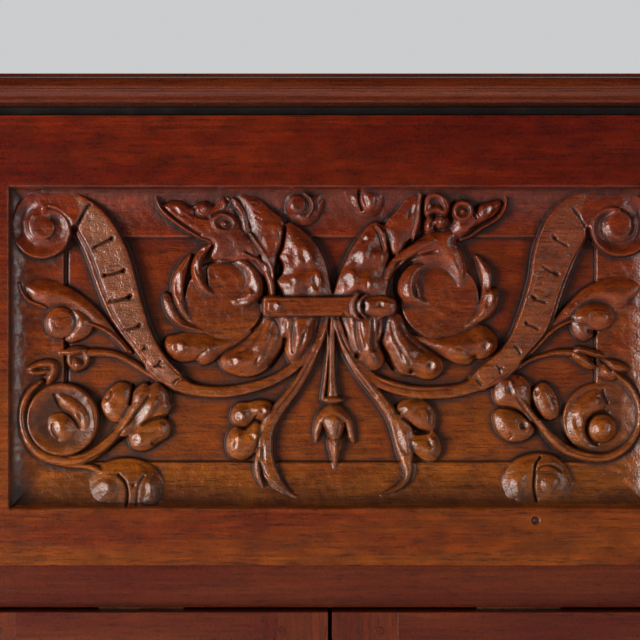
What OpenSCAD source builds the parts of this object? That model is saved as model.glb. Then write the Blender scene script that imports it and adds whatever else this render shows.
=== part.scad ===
// A small joined cupboard: one deep carved drawer over a pair of panelled doors.
// The front faces -Y, +Z is up and the origin is on the floor under the middle of the top.

/* [Carcase] */
// Width over the corner posts
body_w = 640; // [600:5:720]
// Depth from the posts' front faces to their back faces
body_d = 370; // [340:5:430]
// Width of a corner post, seen from the front
post_w = 52; // [46:1:60]
// Depth of a corner post
post_d = 40; // [36:1:48]
// Thickness of the frame rails
rail_t = 22; // [20:1:26]
// Height of the top side rails
side_top_rail_h = 62; // [50:2:80]
// Height of the middle side rails
side_mid_rail_h = 60; // [50:2:80]
// Height of the back rails
back_rail_h = 54; // [40:2:70]

/* [Base] */
// Height of the turned feet
foot_h = 62; // [46:1:90]
// Largest radius of a foot
foot_r = 34; // [28:1:38]
// Height of the plinth rails
plinth_h = 70; // [60:1:90]
// Height of the moulding round the base
base_moulding_h = 46; // [36:1:54]
// How far that moulding stands out
base_moulding_p = 16; // [12:1:20]

/* [Top] */
// Thickness of the top board
top_t = 20; // [18:1:28]
// Overhang of the top at each side
top_side = 28; // [20:1:40]
// Overhang of the top in front
top_front = 30; // [30:1:40]
// Height of the blackened fillet between the top and the drawer
fillet_h = 6; // [4:0.5:10]

/* [Carved drawer] */
// Width of the sunk panel
panel_w = 450; // [440:1:470]
// Height of the sunk panel
panel_h = 225; // [215:1:240]
// Plain border above the sunk panel
border_top = 50; // [40:1:60]
// Plain border below the sunk panel
border_bottom = 40; // [30:1:60]
// Thickness of the carved front board
front_t = 28; // [26:1:34]
// Width of the scooped cove round the sunk panel
cove_w = 30; // [24:1:31]
// Depth of that cove
cove_depth = 12; // [9:0.5:14]
// Further drop from the cove to the carver's ground
ground_step = 2.5; // [1.5:0.5:3]
// Thickness of the drawer sides and back
drawer_side_t = 12; // [10:1:14]
// Thickness of the drawer bottom
drawer_bottom_t = 8; // [6:1:9]
// Room left behind the closed drawer
drawer_back_room = 12; // [6:1:60]

/* [Doors] */
// Height of the door opening
door_opening_h = 404; // [360:2:520]
// Thickness of the door frames
door_t = 24; // [22:1:26]
// Width of the door stiles
stile_w = 46; // [42:1:56]
// Height of the doors' top rails
door_top_rail_h = 50; // [44:1:64]
// Height of the doors' bottom rails
door_bottom_rail_h = 56; // [48:1:70]
// Width of the cove moulding round a door panel
door_moulding_w = 16; // [12:1:20]
// Height of the shelf above the cupboard's bottom
shelf_up = 184; // [140:2:220]
// Thickness of the shelf
shelf_t = 16; // [14:1:20]

/* [Ironwork] */
// Radius of a hinge knuckle
knuckle_r = 3; // [2.6:0.1:3.6]
// Radius of a hinge pin
pin_r = 1.5; // [1.2:0.1:1.6]
// Length of a hinge leaf
leaf_h = 50; // [40:1:60]
// Width of a hinge leaf
leaf_w = 17; // [14:0.5:19]
// Distance of the hinges from the ends of a door
hinge_inset = 45; // [30:1:80]
// Throw of the lock bolt
bolt_throw = 12; // [8:1:12]
// Throw of the upright bolt behind the left door
door_bolt_throw = 12; // [8:1:12]

/* [Hidden] */
$fn = 40;

WOOD = [0.36, 0.13, 0.06];
DARK_WOOD = [0.03, 0.025, 0.022];
PLAIN_WOOD = [0.55, 0.38, 0.22];
BRASS = [0.66, 0.5, 0.24];
IRON = [0.2, 0.19, 0.18];

// Clearances and joinery, in millimetres
drawer_gap = 1.5;       // between the drawer front and the posts and middle rail
drawer_top_gap = 1;     // between the drawer front and the fillet
slide_gap = 0.3;        // under the drawer sides
kicker_gap = 1;         // above the drawer sides
door_gap = 1.5;         // round each door
meeting_gap = 3;        // between the two doors, so that each clears the other as it swings
run_gap = 0.05;         // round a hinge pin
tenon_l = 24;
tenon_t = 8;
tenon_shoulder = 7;
rail_back_gap = 1.5;    // between the drawer front and the rail over the drawer
groove = 8;             // depth of a panel groove
tongue = 7;             // what a panel holds in its groove
tongue_t = 6;
peg_r = 3;
peg_proud = 0.6;
front_peg_l = post_d - 8;
side_peg_l = 26;
peg_inset = 12;         // from the end of a rail to its pegs
mid_setback = 16;       // the middle rail stands back, to let fingers under the drawer front
mid_rail_d = 36;
mid_rail_h = 30;
mid_tenon_back = 12;    // from the middle rail's face to the middle of its tenons
back_t = 10;
back_inset = 6;
rear_rail_t = 22;
board_lap = 6;
runner_t = 22;
runner_w = 28;          // how far a runner reaches in past the post
guide_h = 24;
dust_t = 8;
bottom_t = 18;
cleat = 18;
shelf_back = 24;        // room for the lock between the doors and the shelf
bearer_w = 18;
bearer_h = 24;
stop_gap = 0.3;         // between a stop and what it stops
stop_in = 60;           // from a runner to the drawer's stop
drawer_stop_w = 30;
drawer_stop_l = 18;
drawer_stop_h = 9;
door_stop_w = 60;
door_stop_t = 12;

// Levels and lines
front_y = (top_front - body_d) / 2;
back_y = front_y + body_d;
post_x1 = body_w / 2;
post_x0 = post_x1 - post_w;
door_z0 = foot_h + plinth_h;
mid_z0 = door_z0 + door_opening_h;
mid_z1 = mid_z0 + mid_rail_h;
drawer_z0 = mid_z1 + drawer_gap;
front_h = border_top + panel_h + border_bottom;
drawer_z1 = drawer_z0 + front_h;
top_z0 = drawer_z1 + drawer_top_gap + fillet_h;
drawer_x = post_x0 - drawer_gap;
front_back_y = front_y + front_t;
panel_z = drawer_z0 + border_bottom + panel_h / 2;
ground_depth = cove_depth + ground_step;
ground_side = cove_w + 8;
ground_top = cove_w + 5;
ground_bottom = cove_w + 1.5;
runner_x = post_x0 - runner_w;
side_in_x = post_x1 - rail_t;
box_z0 = mid_z1 + slide_gap;
box_z1 = top_z0 - runner_t - kicker_gap;
back_board_y = back_y - back_inset - back_t;
rear_rail_y = back_board_y - rear_rail_t;
box_y1 = rear_rail_y - drawer_back_room;
shelf_z = door_z0 + shelf_up;
shelf_y = front_y + door_t + shelf_back;
top_rail_y = front_back_y + rail_back_gap;
top_rail_d = 50;
top_rail_t = 20;

// A block between two values on each axis
module span(x, y, z) {
    translate([min(x[0], x[1]), min(y[0], y[1]), min(z[0], z[1])])
        cube([abs(x[1] - x[0]), abs(y[1] - y[0]), abs(z[1] - z[0])]);
}

module both_sides() {
    children();
    mirror([1, 0, 0]) children();
}

module right() {
    mirror([1, 0, 0]) children();
}

// Extrudes an outline drawn in (y, z) along x, centred, over the length l
module along_x(l) {
    translate([-l / 2, 0, 0]) rotate([90, 0, 90]) linear_extrude(l) children();
}

// Extrudes an outline drawn in (x, z) along y, from y0 over the length l
module along_y(y0, l) {
    translate([0, y0 + l, 0]) rotate([90, 0, 0]) linear_extrude(l) children();
}

// Outline of a cove: it leaves the edge steeply and lies flat after the width w
function cove_line(w, depth, steps = 10) =
    [for (i = [0:steps]) let (a = 90 * i / steps) [w * (1 - cos(a)), depth * sin(a)]];

// The hollow of a sunk panel: a cove along each side, meeting on the mitres
module coved_void(w, h, cove, depth, over = 1) {
    line = cove_line(cove, depth);
    n = len(line);
    across = concat([for (i = [0:n - 1]) [line[i][0] - w / 2, line[i][1]]],
        [for (i = [n - 1:-1:0]) [w / 2 - line[i][0], line[i][1]]],
        [[w / 2, -over], [-w / 2, -over]]);
    upright = concat([for (i = [0:n - 1]) [line[i][1], line[i][0] - h / 2]],
        [for (i = [n - 1:-1:0]) [line[i][1], h / 2 - line[i][0]]],
        [[-over, h / 2], [-over, -h / 2]]);
    intersection() {
        translate([0, 0, -h / 2]) linear_extrude(h) polygon(across);
        along_x(w) polygon(upright);
    }
}

// A panel with tongues all round and a raised field in front, its plate's front face at y = 0
module fielded_panel(w, h, plate_t, margin, bevel, field_t) {
    fw = w / 2 - margin;
    fh = h / 2 - margin;
    span([-w / 2, w / 2], [0, plate_t], [-h / 2, h / 2]);
    intersection() {
        translate([0, 0, -fh]) linear_extrude(2 * fh)
            polygon([[-fw, 0.5], [-fw, 0], [bevel - fw, -field_t], [fw - bevel, -field_t], [fw, 0],
                [fw, 0.5]]);
        along_x(2 * fw)
            polygon([[0.5, -fh], [0, -fh], [-field_t, bevel - fh], [-field_t, fh - bevel], [0, fh],
                [0.5, fh]]);
    }
}

// The mitred block of a moulding that runs round the front and both sides.
// edge lists [how far the edge stands back, height], from the bottom upwards.
module moulded_block(half_w, y0, y1, edge) {
    n = len(edge);
    intersection() {
        along_x(2 * half_w)
            polygon(concat([for (p = edge) [y0 + p[0], p[1]]], [[y1, edge[n - 1][1]], [y1, edge[0][1]]]));
        along_y(y0, y1 - y0)
            polygon(concat([for (p = edge) [half_w - p[0], p[1]]],
                [for (i = [n - 1:-1:0]) [edge[i][0] - half_w, edge[i][1]]]));
    }
}

// Frame

module front_rail_tenon(y_mid, z0, z1) {
    x = [post_x0, post_x0 + tenon_l];
    y = [y_mid - tenon_t / 2, y_mid + tenon_t / 2];
    both_sides() span(x, y, [z0 + tenon_shoulder, z1 - tenon_shoulder]);
}

module plinth_tenons() {
    front_rail_tenon(front_y + rail_t / 2, foot_h, door_z0);
}

module mid_tenons() {
    front_rail_tenon(front_y + mid_setback + mid_tenon_back, mid_z0, mid_z1);
}

function back_rail_levels() = [[foot_h, door_z0], [mid_z1 - runner_t - back_rail_h, mid_z1 - runner_t],
    [top_z0 - back_rail_h, top_z0]];

module back_tenons() {
    for (z = back_rail_levels())
        front_rail_tenon(rear_rail_y + rear_rail_t / 2, z[0], z[1]);
}

function side_rail_levels() = [[foot_h, door_z0],
    [(mid_z0 + mid_z1 - side_mid_rail_h) / 2, (mid_z0 + mid_z1 + side_mid_rail_h) / 2],
    [top_z0 - side_top_rail_h, top_z0]];

side_tenon_x = -post_x1 + rail_t / 2;

module left_side_tenons() {
    for (z = side_rail_levels())
        for (y = [front_y + post_d - tenon_l, back_y - post_d])
            span([side_tenon_x - tenon_t / 2, side_tenon_x + tenon_t / 2], [y, y + tenon_l],
                [z[0] + tenon_shoulder, z[1] - tenon_shoulder]);
}

// The grooves that hold the left side's panels
module left_side_grooves() {
    z = side_rail_levels();
    for (i = [0, 1])
        span([side_tenon_x - tongue_t / 2, side_tenon_x + tongue_t / 2],
            [front_y + post_d - groove, back_y - post_d + groove], [z[i][1] - groove, z[i + 1][0] + groove]);
}

module peg(length, r = peg_r) {
    cylinder(r = r, h = length, $fn = 24);
}

// Pegs through the left front post, and through the left side's joints
module left_frame_pegs() {
    for (z = [door_z0 - peg_inset, (mid_z0 + mid_z1) / 2])
        translate([-post_x0 - tenon_l / 2, front_y - peg_proud, z]) rotate([-90, 0, 0]) peg(front_peg_l);
    levels = side_rail_levels();
    heights = concat([levels[0][1] - peg_inset],
        [for (i = [1, 2]) for (z = [levels[i][0] + peg_inset, levels[i][1] - peg_inset]) z]);
    for (y = [front_y + post_d - tenon_l / 2, back_y - post_d + tenon_l / 2])
        for (z = heights)
            translate([-post_x1 - peg_proud, y, z]) rotate([0, 90, 0]) peg(side_peg_l);
}

module left_post(y) {
    span([-post_x1, -post_x0], [y, y + post_d], [foot_h, top_z0]);
}

module front_left_post() {
    color(WOOD) difference() {
        left_post(front_y);
        plinth_tenons();
        mid_tenons();
        left_side_tenons();
        left_side_grooves();
        left_frame_pegs();
        hinge_places() frame_leaf_seat();
        hinge_places() frame_leaf_screws();
    }
}

module rear_left_post() {
    color(WOOD) difference() {
        left_post(back_y - post_d);
        back_tenons();
        left_side_tenons();
        left_side_grooves();
        left_frame_pegs();
        back_board_groove();
    }
}

module back_board_groove() {
    span([-post_x0 - groove, post_x0 + groove], [back_board_y, back_board_y + back_t], [foot_h, top_z0]);
}

module plinth_rail() {
    color(WOOD) difference() {
        union() {
            span([-post_x0, post_x0], [front_y, front_y + rail_t], [foot_h, door_z0]);
            plinth_tenons();
        }
        both_sides() left_frame_pegs();
    }
}

module mid_rail() {
    color(WOOD) difference() {
        union() {
            span([-post_x0, post_x0], [front_y + mid_setback, front_y + mid_setback + mid_rail_d],
                [mid_z0, mid_z1]);
            mid_tenons();
        }
        both_sides() left_frame_pegs();
        bolt_socket();
        dust_groove();
    }
}

module left_side_rails() {
    color(WOOD) difference() {
        union() {
            for (z = side_rail_levels())
                span([-post_x1, -side_in_x], [front_y + post_d, back_y - post_d], z);
            left_side_tenons();
        }
        left_side_grooves();
        left_frame_pegs();
    }
}

module left_side_panels() {
    z = side_rail_levels();
    y_mid = (front_y + back_y) / 2;
    w = body_d - 2 * post_d + 2 * tongue;
    color(WOOD) for (i = [0, 1]) {
        h = z[i + 1][0] - z[i][1] + 2 * tongue;
        translate([side_tenon_x - tongue_t / 2, y_mid, (z[i + 1][0] + z[i][1]) / 2])
            rotate([0, 0, -90]) fielded_panel(w, h, tongue_t, tongue + 1, 30, rail_t / 2 - tongue_t / 2 - 2);
    }
}

module back_rails() {
    color(PLAIN_WOOD) {
        for (z = back_rail_levels())
            span([-post_x0, post_x0], [rear_rail_y, rear_rail_y + rear_rail_t], z);
        back_tenons();
    }
}

// Upright boards, each lapped over the next one's rebated edge
module back_boards() {
    count = 5;
    shrink = 0.6;
    hairline = 0.05;
    reach = post_x0 + tongue;
    pitch = 2 * reach / count;
    y = [back_board_y, back_board_y + back_t / 2, back_board_y + back_t];
    z = [foot_h, top_z0];
    color(PLAIN_WOOD) for (i = [0:count - 1]) {
        x0 = i * pitch - reach;
        x1 = x0 + pitch - shrink;
        span([i == 0 ? x0 : x0 + board_lap, x1], [y[0], y[2]], z);
        if (i > 0)
            span([x0, x0 + board_lap], [y[1], y[2]], z);
        if (i < count - 1)
            span([x1, x1 + board_lap], [y[0], y[1] - hairline], z);
    }
}

module top_rail() {
    color(PLAIN_WOOD)
        span([-post_x0, post_x0], [top_rail_y, top_rail_y + top_rail_d], [top_z0 - top_rail_t, top_z0]);
}

// A strip stained black in front of the top rail, set back from the drawer's face
module ebonised_fillet() {
    fillet_back = 10;
    color(DARK_WOOD)
        span([-post_x0, post_x0], [front_y + fillet_back, top_rail_y], [top_z0 - fillet_h, top_z0]);
}

// The edge of the top: a cove under a quarter round, with a small step above it
top_step = 2.5;
top_round_z = 9.5;
top_edge = concat([[9, 0], [9, 2]],
    [for (a = [0:15:90]) [9 - 7 * sin(a), 8.5 - 6.5 * cos(a)]],
    [for (a = [0:15:90]) [5.5 * (1 - cos(a)), top_round_z + (top_t - top_step - top_round_z) * sin(a)]],
    [[7, top_t - top_step], [7, top_t]]);

module top_board() {
    color(WOOD) translate([0, 0, top_z0])
        moulded_block(post_x1 + top_side, front_y - top_front, back_y, top_edge);
}

// Base

module base_moulding() {
    h = base_moulding_h;
    p = base_moulding_p;
    edge = concat([[0, 0], [0, h / 2], [2, h / 2 + 2]],
        [for (a = [15:15:90]) [2 + (p - 5) * (1 - cos(a)), h / 2 + 2 + (h / 2 - 6) * sin(a)]],
        [[p - 2, h - 4], [p - 2, h]]);
    mitre_gap = 0.1;
    color(WOOD) translate([0, 0, foot_h]) {
        intersection() {
            moulding_ring(p, h, edge);
            mitre_wedge(p, h, -mitre_gap);
        }
        difference() {
            moulding_ring(p, h, edge);
            mitre_wedge(p, h, 0);
        }
    }
}

module moulding_ring(p, h, edge) {
    difference() {
        moulded_block(post_x1 + p, front_y - p, back_y, edge);
        span([-post_x1, post_x1], [front_y, back_y + 1], [-1, h + 1]);
    }
}

// What lies in front of the two front mitres
module mitre_wedge(p, h, grow) {
    far = p + 5;
    translate([0, 0, -1]) linear_extrude(h + 2)
        polygon([[-post_x1 - far - grow, front_y - far], [post_x1 + far + grow, front_y - far],
            [post_x1 + grow, front_y], [-post_x1 - grow, front_y]]);
}

// A bun foot as shares of its radius and height: the bun, a neck, a ring and the seat under the post
foot_turning = concat([[0, 0]],
    [for (a = [-50:10:60]) [0.48 + 0.52 * cos(a), 0.38 + 0.38 * sin(a) / (a < 0 ? sin(50) : sin(60))]],
    [[0.6, 0.79], [0.6, 0.82]],
    [for (a = [-90:30:90]) [0.72 + 0.08 * cos(a), 0.88 + 0.06 * sin(a)]],
    [[0.72, 1], [0, 1]]);

module foot() {
    rotate_extrude($fn = 64) polygon([for (p = foot_turning) [p[0] * foot_r, p[1] * foot_h]]);
}

module left_door_screws() {
    color(BRASS) {
        hinge_places() door_leaf_screws();
        keep_screws();
        plate_screws();
    }
}

module frame_hinge_screws() {
    color(BRASS) both_sides() hinge_places() frame_leaf_screws();
}

module right_door_screws() {
    color(BRASS) {
        right() hinge_places() door_leaf_screws();
        lock_screws();
        escutcheon_pins();
    }
}

module feet(y) {
    color(WOOD) both_sides() translate([post_x1 - foot_r, y, 0]) foot();
}

module bottom_board() {
    color(PLAIN_WOOD) difference() {
        span([-side_in_x, side_in_x], [front_y + rail_t, rear_rail_y], [door_z0 - bottom_t, door_z0]);
        both_sides() span([-post_x1, -post_x0], [front_y, front_y + post_d], [0, top_z0]);
        both_sides() span([-post_x1, -post_x0], [back_y - post_d, back_y], [0, top_z0]);
    }
}

module bottom_cleats() {
    z = [door_z0 - bottom_t - cleat, door_z0 - bottom_t];
    color(PLAIN_WOOD) {
        span([-post_x0, post_x0], [front_y + rail_t, front_y + rail_t + cleat], z);
        span([-post_x0, post_x0], [rear_rail_y - cleat, rear_rail_y], z);
        both_sides() span([-side_in_x, -side_in_x + cleat], [front_y + post_d, back_y - post_d], z);
    }
}

// Inside

module dust_groove() {
    z = mid_z1 - runner_t / 2;
    span([-runner_x - groove, runner_x + groove], [front_y + mid_setback + mid_rail_d - groove, rear_rail_y],
        [z - dust_t / 2, z + dust_t / 2]);
}

module dust_panel() {
    z = mid_z1 - runner_t / 2;
    color(PLAIN_WOOD) span([-runner_x - tongue, runner_x + tongue],
        [front_y + mid_setback + mid_rail_d - tongue, rear_rail_y], [z - dust_t / 2, z + dust_t / 2]);
}

// The left runner with its guide, notched round the rear post
module left_drawer_runner() {
    y0 = front_y + mid_setback + mid_rail_d;
    y1 = back_y - post_d;
    color(PLAIN_WOOD) difference() {
        union() {
            span([-side_in_x, -runner_x], [y0, y1], [mid_z1 - runner_t, mid_z1]);
            span([-post_x0, -runner_x], [y1, back_board_y], [mid_z1 - runner_t, mid_z1]);
            span([-side_in_x, -drawer_x - 0.5], [y0, y1], [mid_z1, mid_z1 + guide_h]);
        }
        dust_groove();
    }
}

module drawer_kickers() {
    y0 = top_rail_y + top_rail_d;
    z = [top_z0 - runner_t, top_z0];
    color(PLAIN_WOOD) both_sides() {
        span([-side_in_x, -runner_x], [y0, back_y - post_d], z);
        span([-post_x0, -runner_x], [back_y - post_d, rear_rail_y], z);
    }
}

module drawer_stops() {
    x1 = runner_x - stop_in;
    y0 = front_back_y + stop_gap;
    color(PLAIN_WOOD) both_sides()
        span([x1 - drawer_stop_w, x1], [y0, y0 + drawer_stop_l], [mid_z1, mid_z1 + drawer_stop_h]);
}

module shelf() {
    side_gap = 1;
    color(PLAIN_WOOD)
        span([side_gap - post_x0, post_x0 - side_gap], [shelf_y, back_board_y], [shelf_z, shelf_z + shelf_t]);
}

module shelf_bearers() {
    color(PLAIN_WOOD) both_sides()
        span([-post_x0, -post_x0 + bearer_w], [shelf_y + 6, rear_rail_y], [shelf_z - bearer_h, shelf_z]);
}

module door_stops() {
    x = [(post_x0 - door_stop_w) / 2, (post_x0 + door_stop_w) / 2];
    y = [front_y + door_t + stop_gap, front_y + door_t + stop_gap + door_stop_t];
    color(PLAIN_WOOD) both_sides() {
        span(x, y, [mid_z0 - door_stop_t, mid_z0]);
        span(x, y, [door_z0, door_z0 + door_stop_t]);
    }
}

// Drawer

tails = 5;
tail_root = 1;          // how deep a tail starts in its board

// The tails of one corner, on the drawer's left side, reaching the length l from y in the direction dir
module left_tails(y, l, dir) {
    pitch = (box_z1 - box_z0) / tails;
    flare = 2.2;
    half = pitch * 0.3;
    for (i = [0:tails - 1])
        translate([-drawer_x, 0, box_z0 + pitch * (i + 0.5)])
            rotate([90, 0, 90]) linear_extrude(drawer_side_t) polygon([[y - dir * tail_root, -half],
                [y, -half], [y + dir * l, -half - flare],
                [y + dir * l, half + flare], [y, half], [y - dir * tail_root, half]]);
}

front_tail_l = 18;

module drawer_left_side() {
    color(PLAIN_WOOD) difference() {
        union() {
            span([-drawer_x, -drawer_x + drawer_side_t], [front_back_y, box_y1 - drawer_side_t],
                [box_z0, box_z1]);
            left_tails(front_back_y, front_tail_l, -1);
            left_tails(box_y1 - drawer_side_t, drawer_side_t, 1);
        }
        drawer_bottom_groove();
    }
}

bottom_z = box_z0 + 10;

module drawer_bottom_groove() {
    reach = drawer_x - drawer_side_t + 7;
    span([-reach, reach], [front_back_y - 7, box_y1 + 1], [bottom_z, bottom_z + drawer_bottom_t]);
}

module drawer_bottom() {
    reach = drawer_x - drawer_side_t + 6.5;
    color(PLAIN_WOOD)
        span([-reach, reach], [front_back_y - 6.5, box_y1], [bottom_z, bottom_z + drawer_bottom_t]);
}

module drawer_back() {
    color(PLAIN_WOOD) difference() {
        span([-drawer_x, drawer_x], [box_y1 - drawer_side_t, box_y1],
            [bottom_z + drawer_bottom_t, box_z1 - 6]);
        both_sides() left_tails(box_y1 - drawer_side_t, drawer_side_t, 1);
        both_sides() span([-drawer_x - 1, -drawer_x + drawer_side_t],
            [box_y1 - drawer_side_t - 1, box_y1 + 1], [box_z0, bottom_z + drawer_bottom_t + 6]);
    }
}

finger_groove_r = 6;
finger_groove_l = 280;
finger_groove_back = 11;

module sunk_panel() {
    difference() {
        union() {
            translate([0, front_y, panel_z]) coved_void(panel_w, panel_h, cove_w, cove_depth);
            span([ground_side - panel_w / 2, panel_w / 2 - ground_side],
                [front_y - 1, front_y + ground_depth],
                [panel_z - panel_h / 2 + ground_bottom, panel_z + panel_h / 2 - ground_top]);
        }
        carving();
    }
}

module drawer_front() {
    color(WOOD) difference() {
        span([-drawer_x, drawer_x], [front_y, front_back_y], [drawer_z0, drawer_z1]);
        sunk_panel();
        both_sides() left_tails(front_back_y, front_tail_l, -1);
        drawer_bottom_groove();
        translate([-finger_groove_l / 2, front_y + finger_groove_back, drawer_z0 - 1]) rotate([0, 90, 0])
            cylinder(r = finger_groove_r, h = finger_groove_l);
    }
}

// Carving in the sunk panel. Points are [x, z] in millimetres from the middle of a panel of
// drawn_w by drawn_h, and follow the panel's size. Each shape stands its own height above the ground.

drawn_w = 450;
drawn_h = 225;
mirror_x = 1;           // the axis between the halves, a little right of the middle
drawn_ground = 14.5;
relief_root = 0.8;      // how deep a carved shape starts in the ground

// A point on the smooth curve from b to c, which a and d lead into and out of
function between(a, b, c, d, t) =
    0.5 * (2 * b + (c - a) * t + (2 * a - 5 * b + 4 * c - d) * t * t + (3 * b - 3 * c + d - a) * t * t * t);

// A closed outline with two steps from each point to the next
function rounded(p) = let (n = len(p))
    [for (i = [0:n - 1]) for (t = [0, 0.5])
        between(p[(i + n - 1) % n], p[i], p[(i + 1) % n], p[(i + 2) % n], t)];

// Where a drawn point lies in the panel
function placed(p) = [p[0] * panel_w / drawn_w, p[1] * panel_h / drawn_h];

module relief(h) {
    stand = h * ground_depth / drawn_ground;
    translate([0, front_y + ground_depth + relief_root, panel_z]) rotate([90, 0, 0])
        linear_extrude(stand + relief_root) children();
}

module leaf(points, h) {
    relief(h) polygon([for (p = rounded(points)) placed(p)]);
}

module disc(x, z, r, h) {
    relief(h) translate(placed([x, z])) circle(r = r, $fn = 36);
}

ribbon = [[-197, 111], [-184, 110.5], [-172, 106], [-161, 97], [-151, 85], [-143, 70], [-137, 50], [-131, 27],
    [-122, 4], [-110, -14], [-92, -25], [-72, -27.5], [-48, -23], [-28, -12], [-13, 3], [-8, 24], [-3, 24],
    [-7, 1], [-19, -14], [-31, -25], [-47, -32.5], [-66, -36.5], [-86, -36], [-103, -31], [-118, -22],
    [-132, -10], [-144, 5], [-153, 20], [-160, 38], [-165, 56], [-170, 68], [-178, 80], [-184, 92],
    [-192, 98]];

module ribbon_and_volute() {
    leaf(ribbon, 8);
    disc(-201, 87, 23.5, 11);
    disc(-198, 85, 16.5, 12.2);
    disc(-201, 86, 9, 13.3);
}

upper_leaf = [[-219, 46], [-208, 48.5], [-194, 46.5], [-180, 41], [-167, 31], [-156, 18], [-146, 4],
    [-138, -6], [-143, -6], [-152, 4], [-162, 14], [-171, 22], [-183, 30], [-196, 29], [-207, 29],
    [-214, 36]];
bud_stem = [[-168, -2], [-148, -3], [-124, -20], [-128, -22], [-148, -8], [-168, -7]];
inner_bud = [[-188, -4], [-180, -1], [-172, -4], [-170, -11], [-175, -17], [-182, -16], [-184, -10]];
outer_bud = [[-213, -15], [-204, -10], [-195, -9], [-191, -15], [-194, -23], [-200, -24], [-202, -18],
    [-210, -18]];

module berry_and_buds() {
    leaf(upper_leaf, 7.5);
    disc(-190, 17, 11.5, 6.5);
    disc(-177, 15, 8.5, 7.1);
    leaf(bud_stem, 4.2);
    leaf(inner_bud, 6.1);
    leaf(outer_bud, 9.5);
}

scroll_stem = [[-196, -80], [-180, -80], [-165, -75], [-152, -64], [-143, -52], [-148, -50], [-158, -60],
    [-168, -70], [-182, -75]];
lobed_leaf = [[-160, -40], [-156, -31], [-149, -25.5], [-142, -25.5], [-139, -31], [-132, -25],
    [-124, -25], [-116, -32], [-113, -41], [-117, -49], [-113, -56], [-116, -65], [-125, -71.5],
    [-135, -71.5], [-141, -64],
    [-148, -59], [-154, -54], [-159, -48]];
flower_hood = [[-168, -107], [-169, -95], [-163, -84], [-150, -79], [-135, -79], [-123, -85], [-116, -96],
    [-117, -107], [-130, -110.5], [-152, -110.5]];

module scroll_and_flower() {
    difference() {
        disc(-189, -51, 29, 9);
        disc(-188, -50, 25, 20);
    }
    disc(-189, -51, 23, 5.6);
    disc(-188, -52, 17, 6.9);
    disc(-187, -56, 9, 8.3);
    leaf(scroll_stem, 7.3);
    leaf(lobed_leaf, 7.8);
    leaf(flower_hood, 9.2);
    disc(-154, -98, 11.5, 10.8);
    disc(-129, -99, 9.5, 11.3);
}

cluster_stem = [[-1, 24], [-4, 2], [-11, -14], [-20, -29], [-29, -41], [-37, -52], [-40, -64], [-40, -76],
    [-37, -88], [-31, -96], [-22, -104], [-28, -106], [-40, -100], [-49, -90], [-52, -78], [-50, -64],
    [-46, -53], [-38, -43.5], [-27, -31], [-17, -16], [-10, 0], [-5, 24]];
cluster_lobes = [[-38, -44], [-41, -38], [-48, -37], [-54, -40], [-62, -38], [-69, -43], [-69, -53],
    [-66, -56], [-71, -64], [-72, -74], [-66, -79], [-57, -76], [-49, -68], [-46, -54]];

module leaf_cluster() {
    leaf(cluster_stem, 6.6);
    leaf(cluster_lobes, 7.2);
}

beast_neck = [[-33, 34], [-36, 46], [-33, 58], [-36, 66], [-33, 76], [-31, 86], [-24, 86], [-15, 79],
    [-7, 67], [-2, 54], [0, 44], [0, 34]];
beast_curl = [[-31, 96], [-29, 104], [-24, 110], [-7, 110], [-4, 100], [-9, 91], [-17, 86], [-26, 88]];
beast_crest = [[-34, 38], [-37, 52], [-44, 60], [-52, 66], [-58, 78], [-62, 90], [-70, 104], [-60, 108],
    [-48, 100], [-38, 92], [-32, 84], [-34, 72], [-36, 62], [-34, 50]];
beast_head = [[-58, 80], [-58, 92], [-63, 102], [-72, 107], [-80, 101], [-87, 102], [-95, 98], [-103, 102],
    [-112, 97], [-121, 104], [-118, 95], [-108, 88], [-98, 83], [-90, 76], [-82, 71], [-68, 70]];
beast_jaws = [[-84, 76], [-92, 69], [-97, 58], [-97, 48], [-92, 41], [-83, 38], [-88, 46], [-90, 55],
    [-85, 60], [-76, 59], [-66, 57], [-60, 50], [-60, 41], [-64, 36], [-72, 33], [-63, 29], [-53, 29],
    [-47, 35], [-46, 46], [-50, 56], [-56, 66], [-66, 76]];
beast_fin = [[-95, 70], [-104, 62], [-110, 52], [-112, 42], [-117, 38], [-118, 30], [-113, 21], [-104, 14],
    [-92, 10], [-80, 8], [-91, 14], [-99, 24], [-102, 36], [-101, 48], [-95, 58]];

module beast() {
    disc(-74, 35, 29.5, 3.6);
    leaf(beast_fin, 6.7);
    leaf(beast_neck, 9.6);
    leaf(beast_curl, 11.4);
    leaf(beast_crest, 8.7);
    leaf(beast_head, 10.5);
    leaf(beast_jaws, 9.1);
    disc(-73, 87, 8, 12);
}

inner_blade = [[-10, 24], [-13, 8], [-18, -4], [-25, -11], [-31, -9], [-33, 2], [-36, 12], [-40, 24]];
middle_blade = [[-38, 24], [-34, 8], [-37, -3], [-42, -12], [-52, -18], [-62, -20], [-72, -16], [-77, -8],
    [-72, -1], [-62, 5], [-52, 12], [-46, 24]];
outer_blade = [[-55, 10], [-66, 3], [-76, -4], [-86, -11], [-96, -10], [-108, -9], [-115, -3], [-114, 5],
    [-106, 12], [-95, 12], [-82, 8], [-66, 6]];

module hanging_blades() {
    leaf(outer_blade, 7.6);
    leaf(middle_blade, 9.4);
    leaf(inner_blade, 10.8);
}

middle_stem = [[0, 24], [0.5, -30], [-3, -38.5], [8, -38.5], [4.5, -30], [5, 24]];
middle_bud = [[2.5, -37], [-5, -42], [-11, -54], [-10, -66], [-5, -61], [-1, -70], [3, -86], [8, -70],
    [11, -61], [17, -67], [16, -54], [10, -42]];
strap_x = [-46, 47];
strap_z = [21.5, 36];

module strap_and_bud() {
    leaf(middle_stem, 5.4);
    leaf(middle_bud, 8.1);
    relief(12.7)
        polygon([for (x = [0, 1]) for (z = [0, 1]) placed([strap_x[x], strap_z[x == 0 ? z : 1 - z]])]);
    disc(24, (strap_z[0] + strap_z[1]) / 2, 8.5, 13.6);
}

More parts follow.
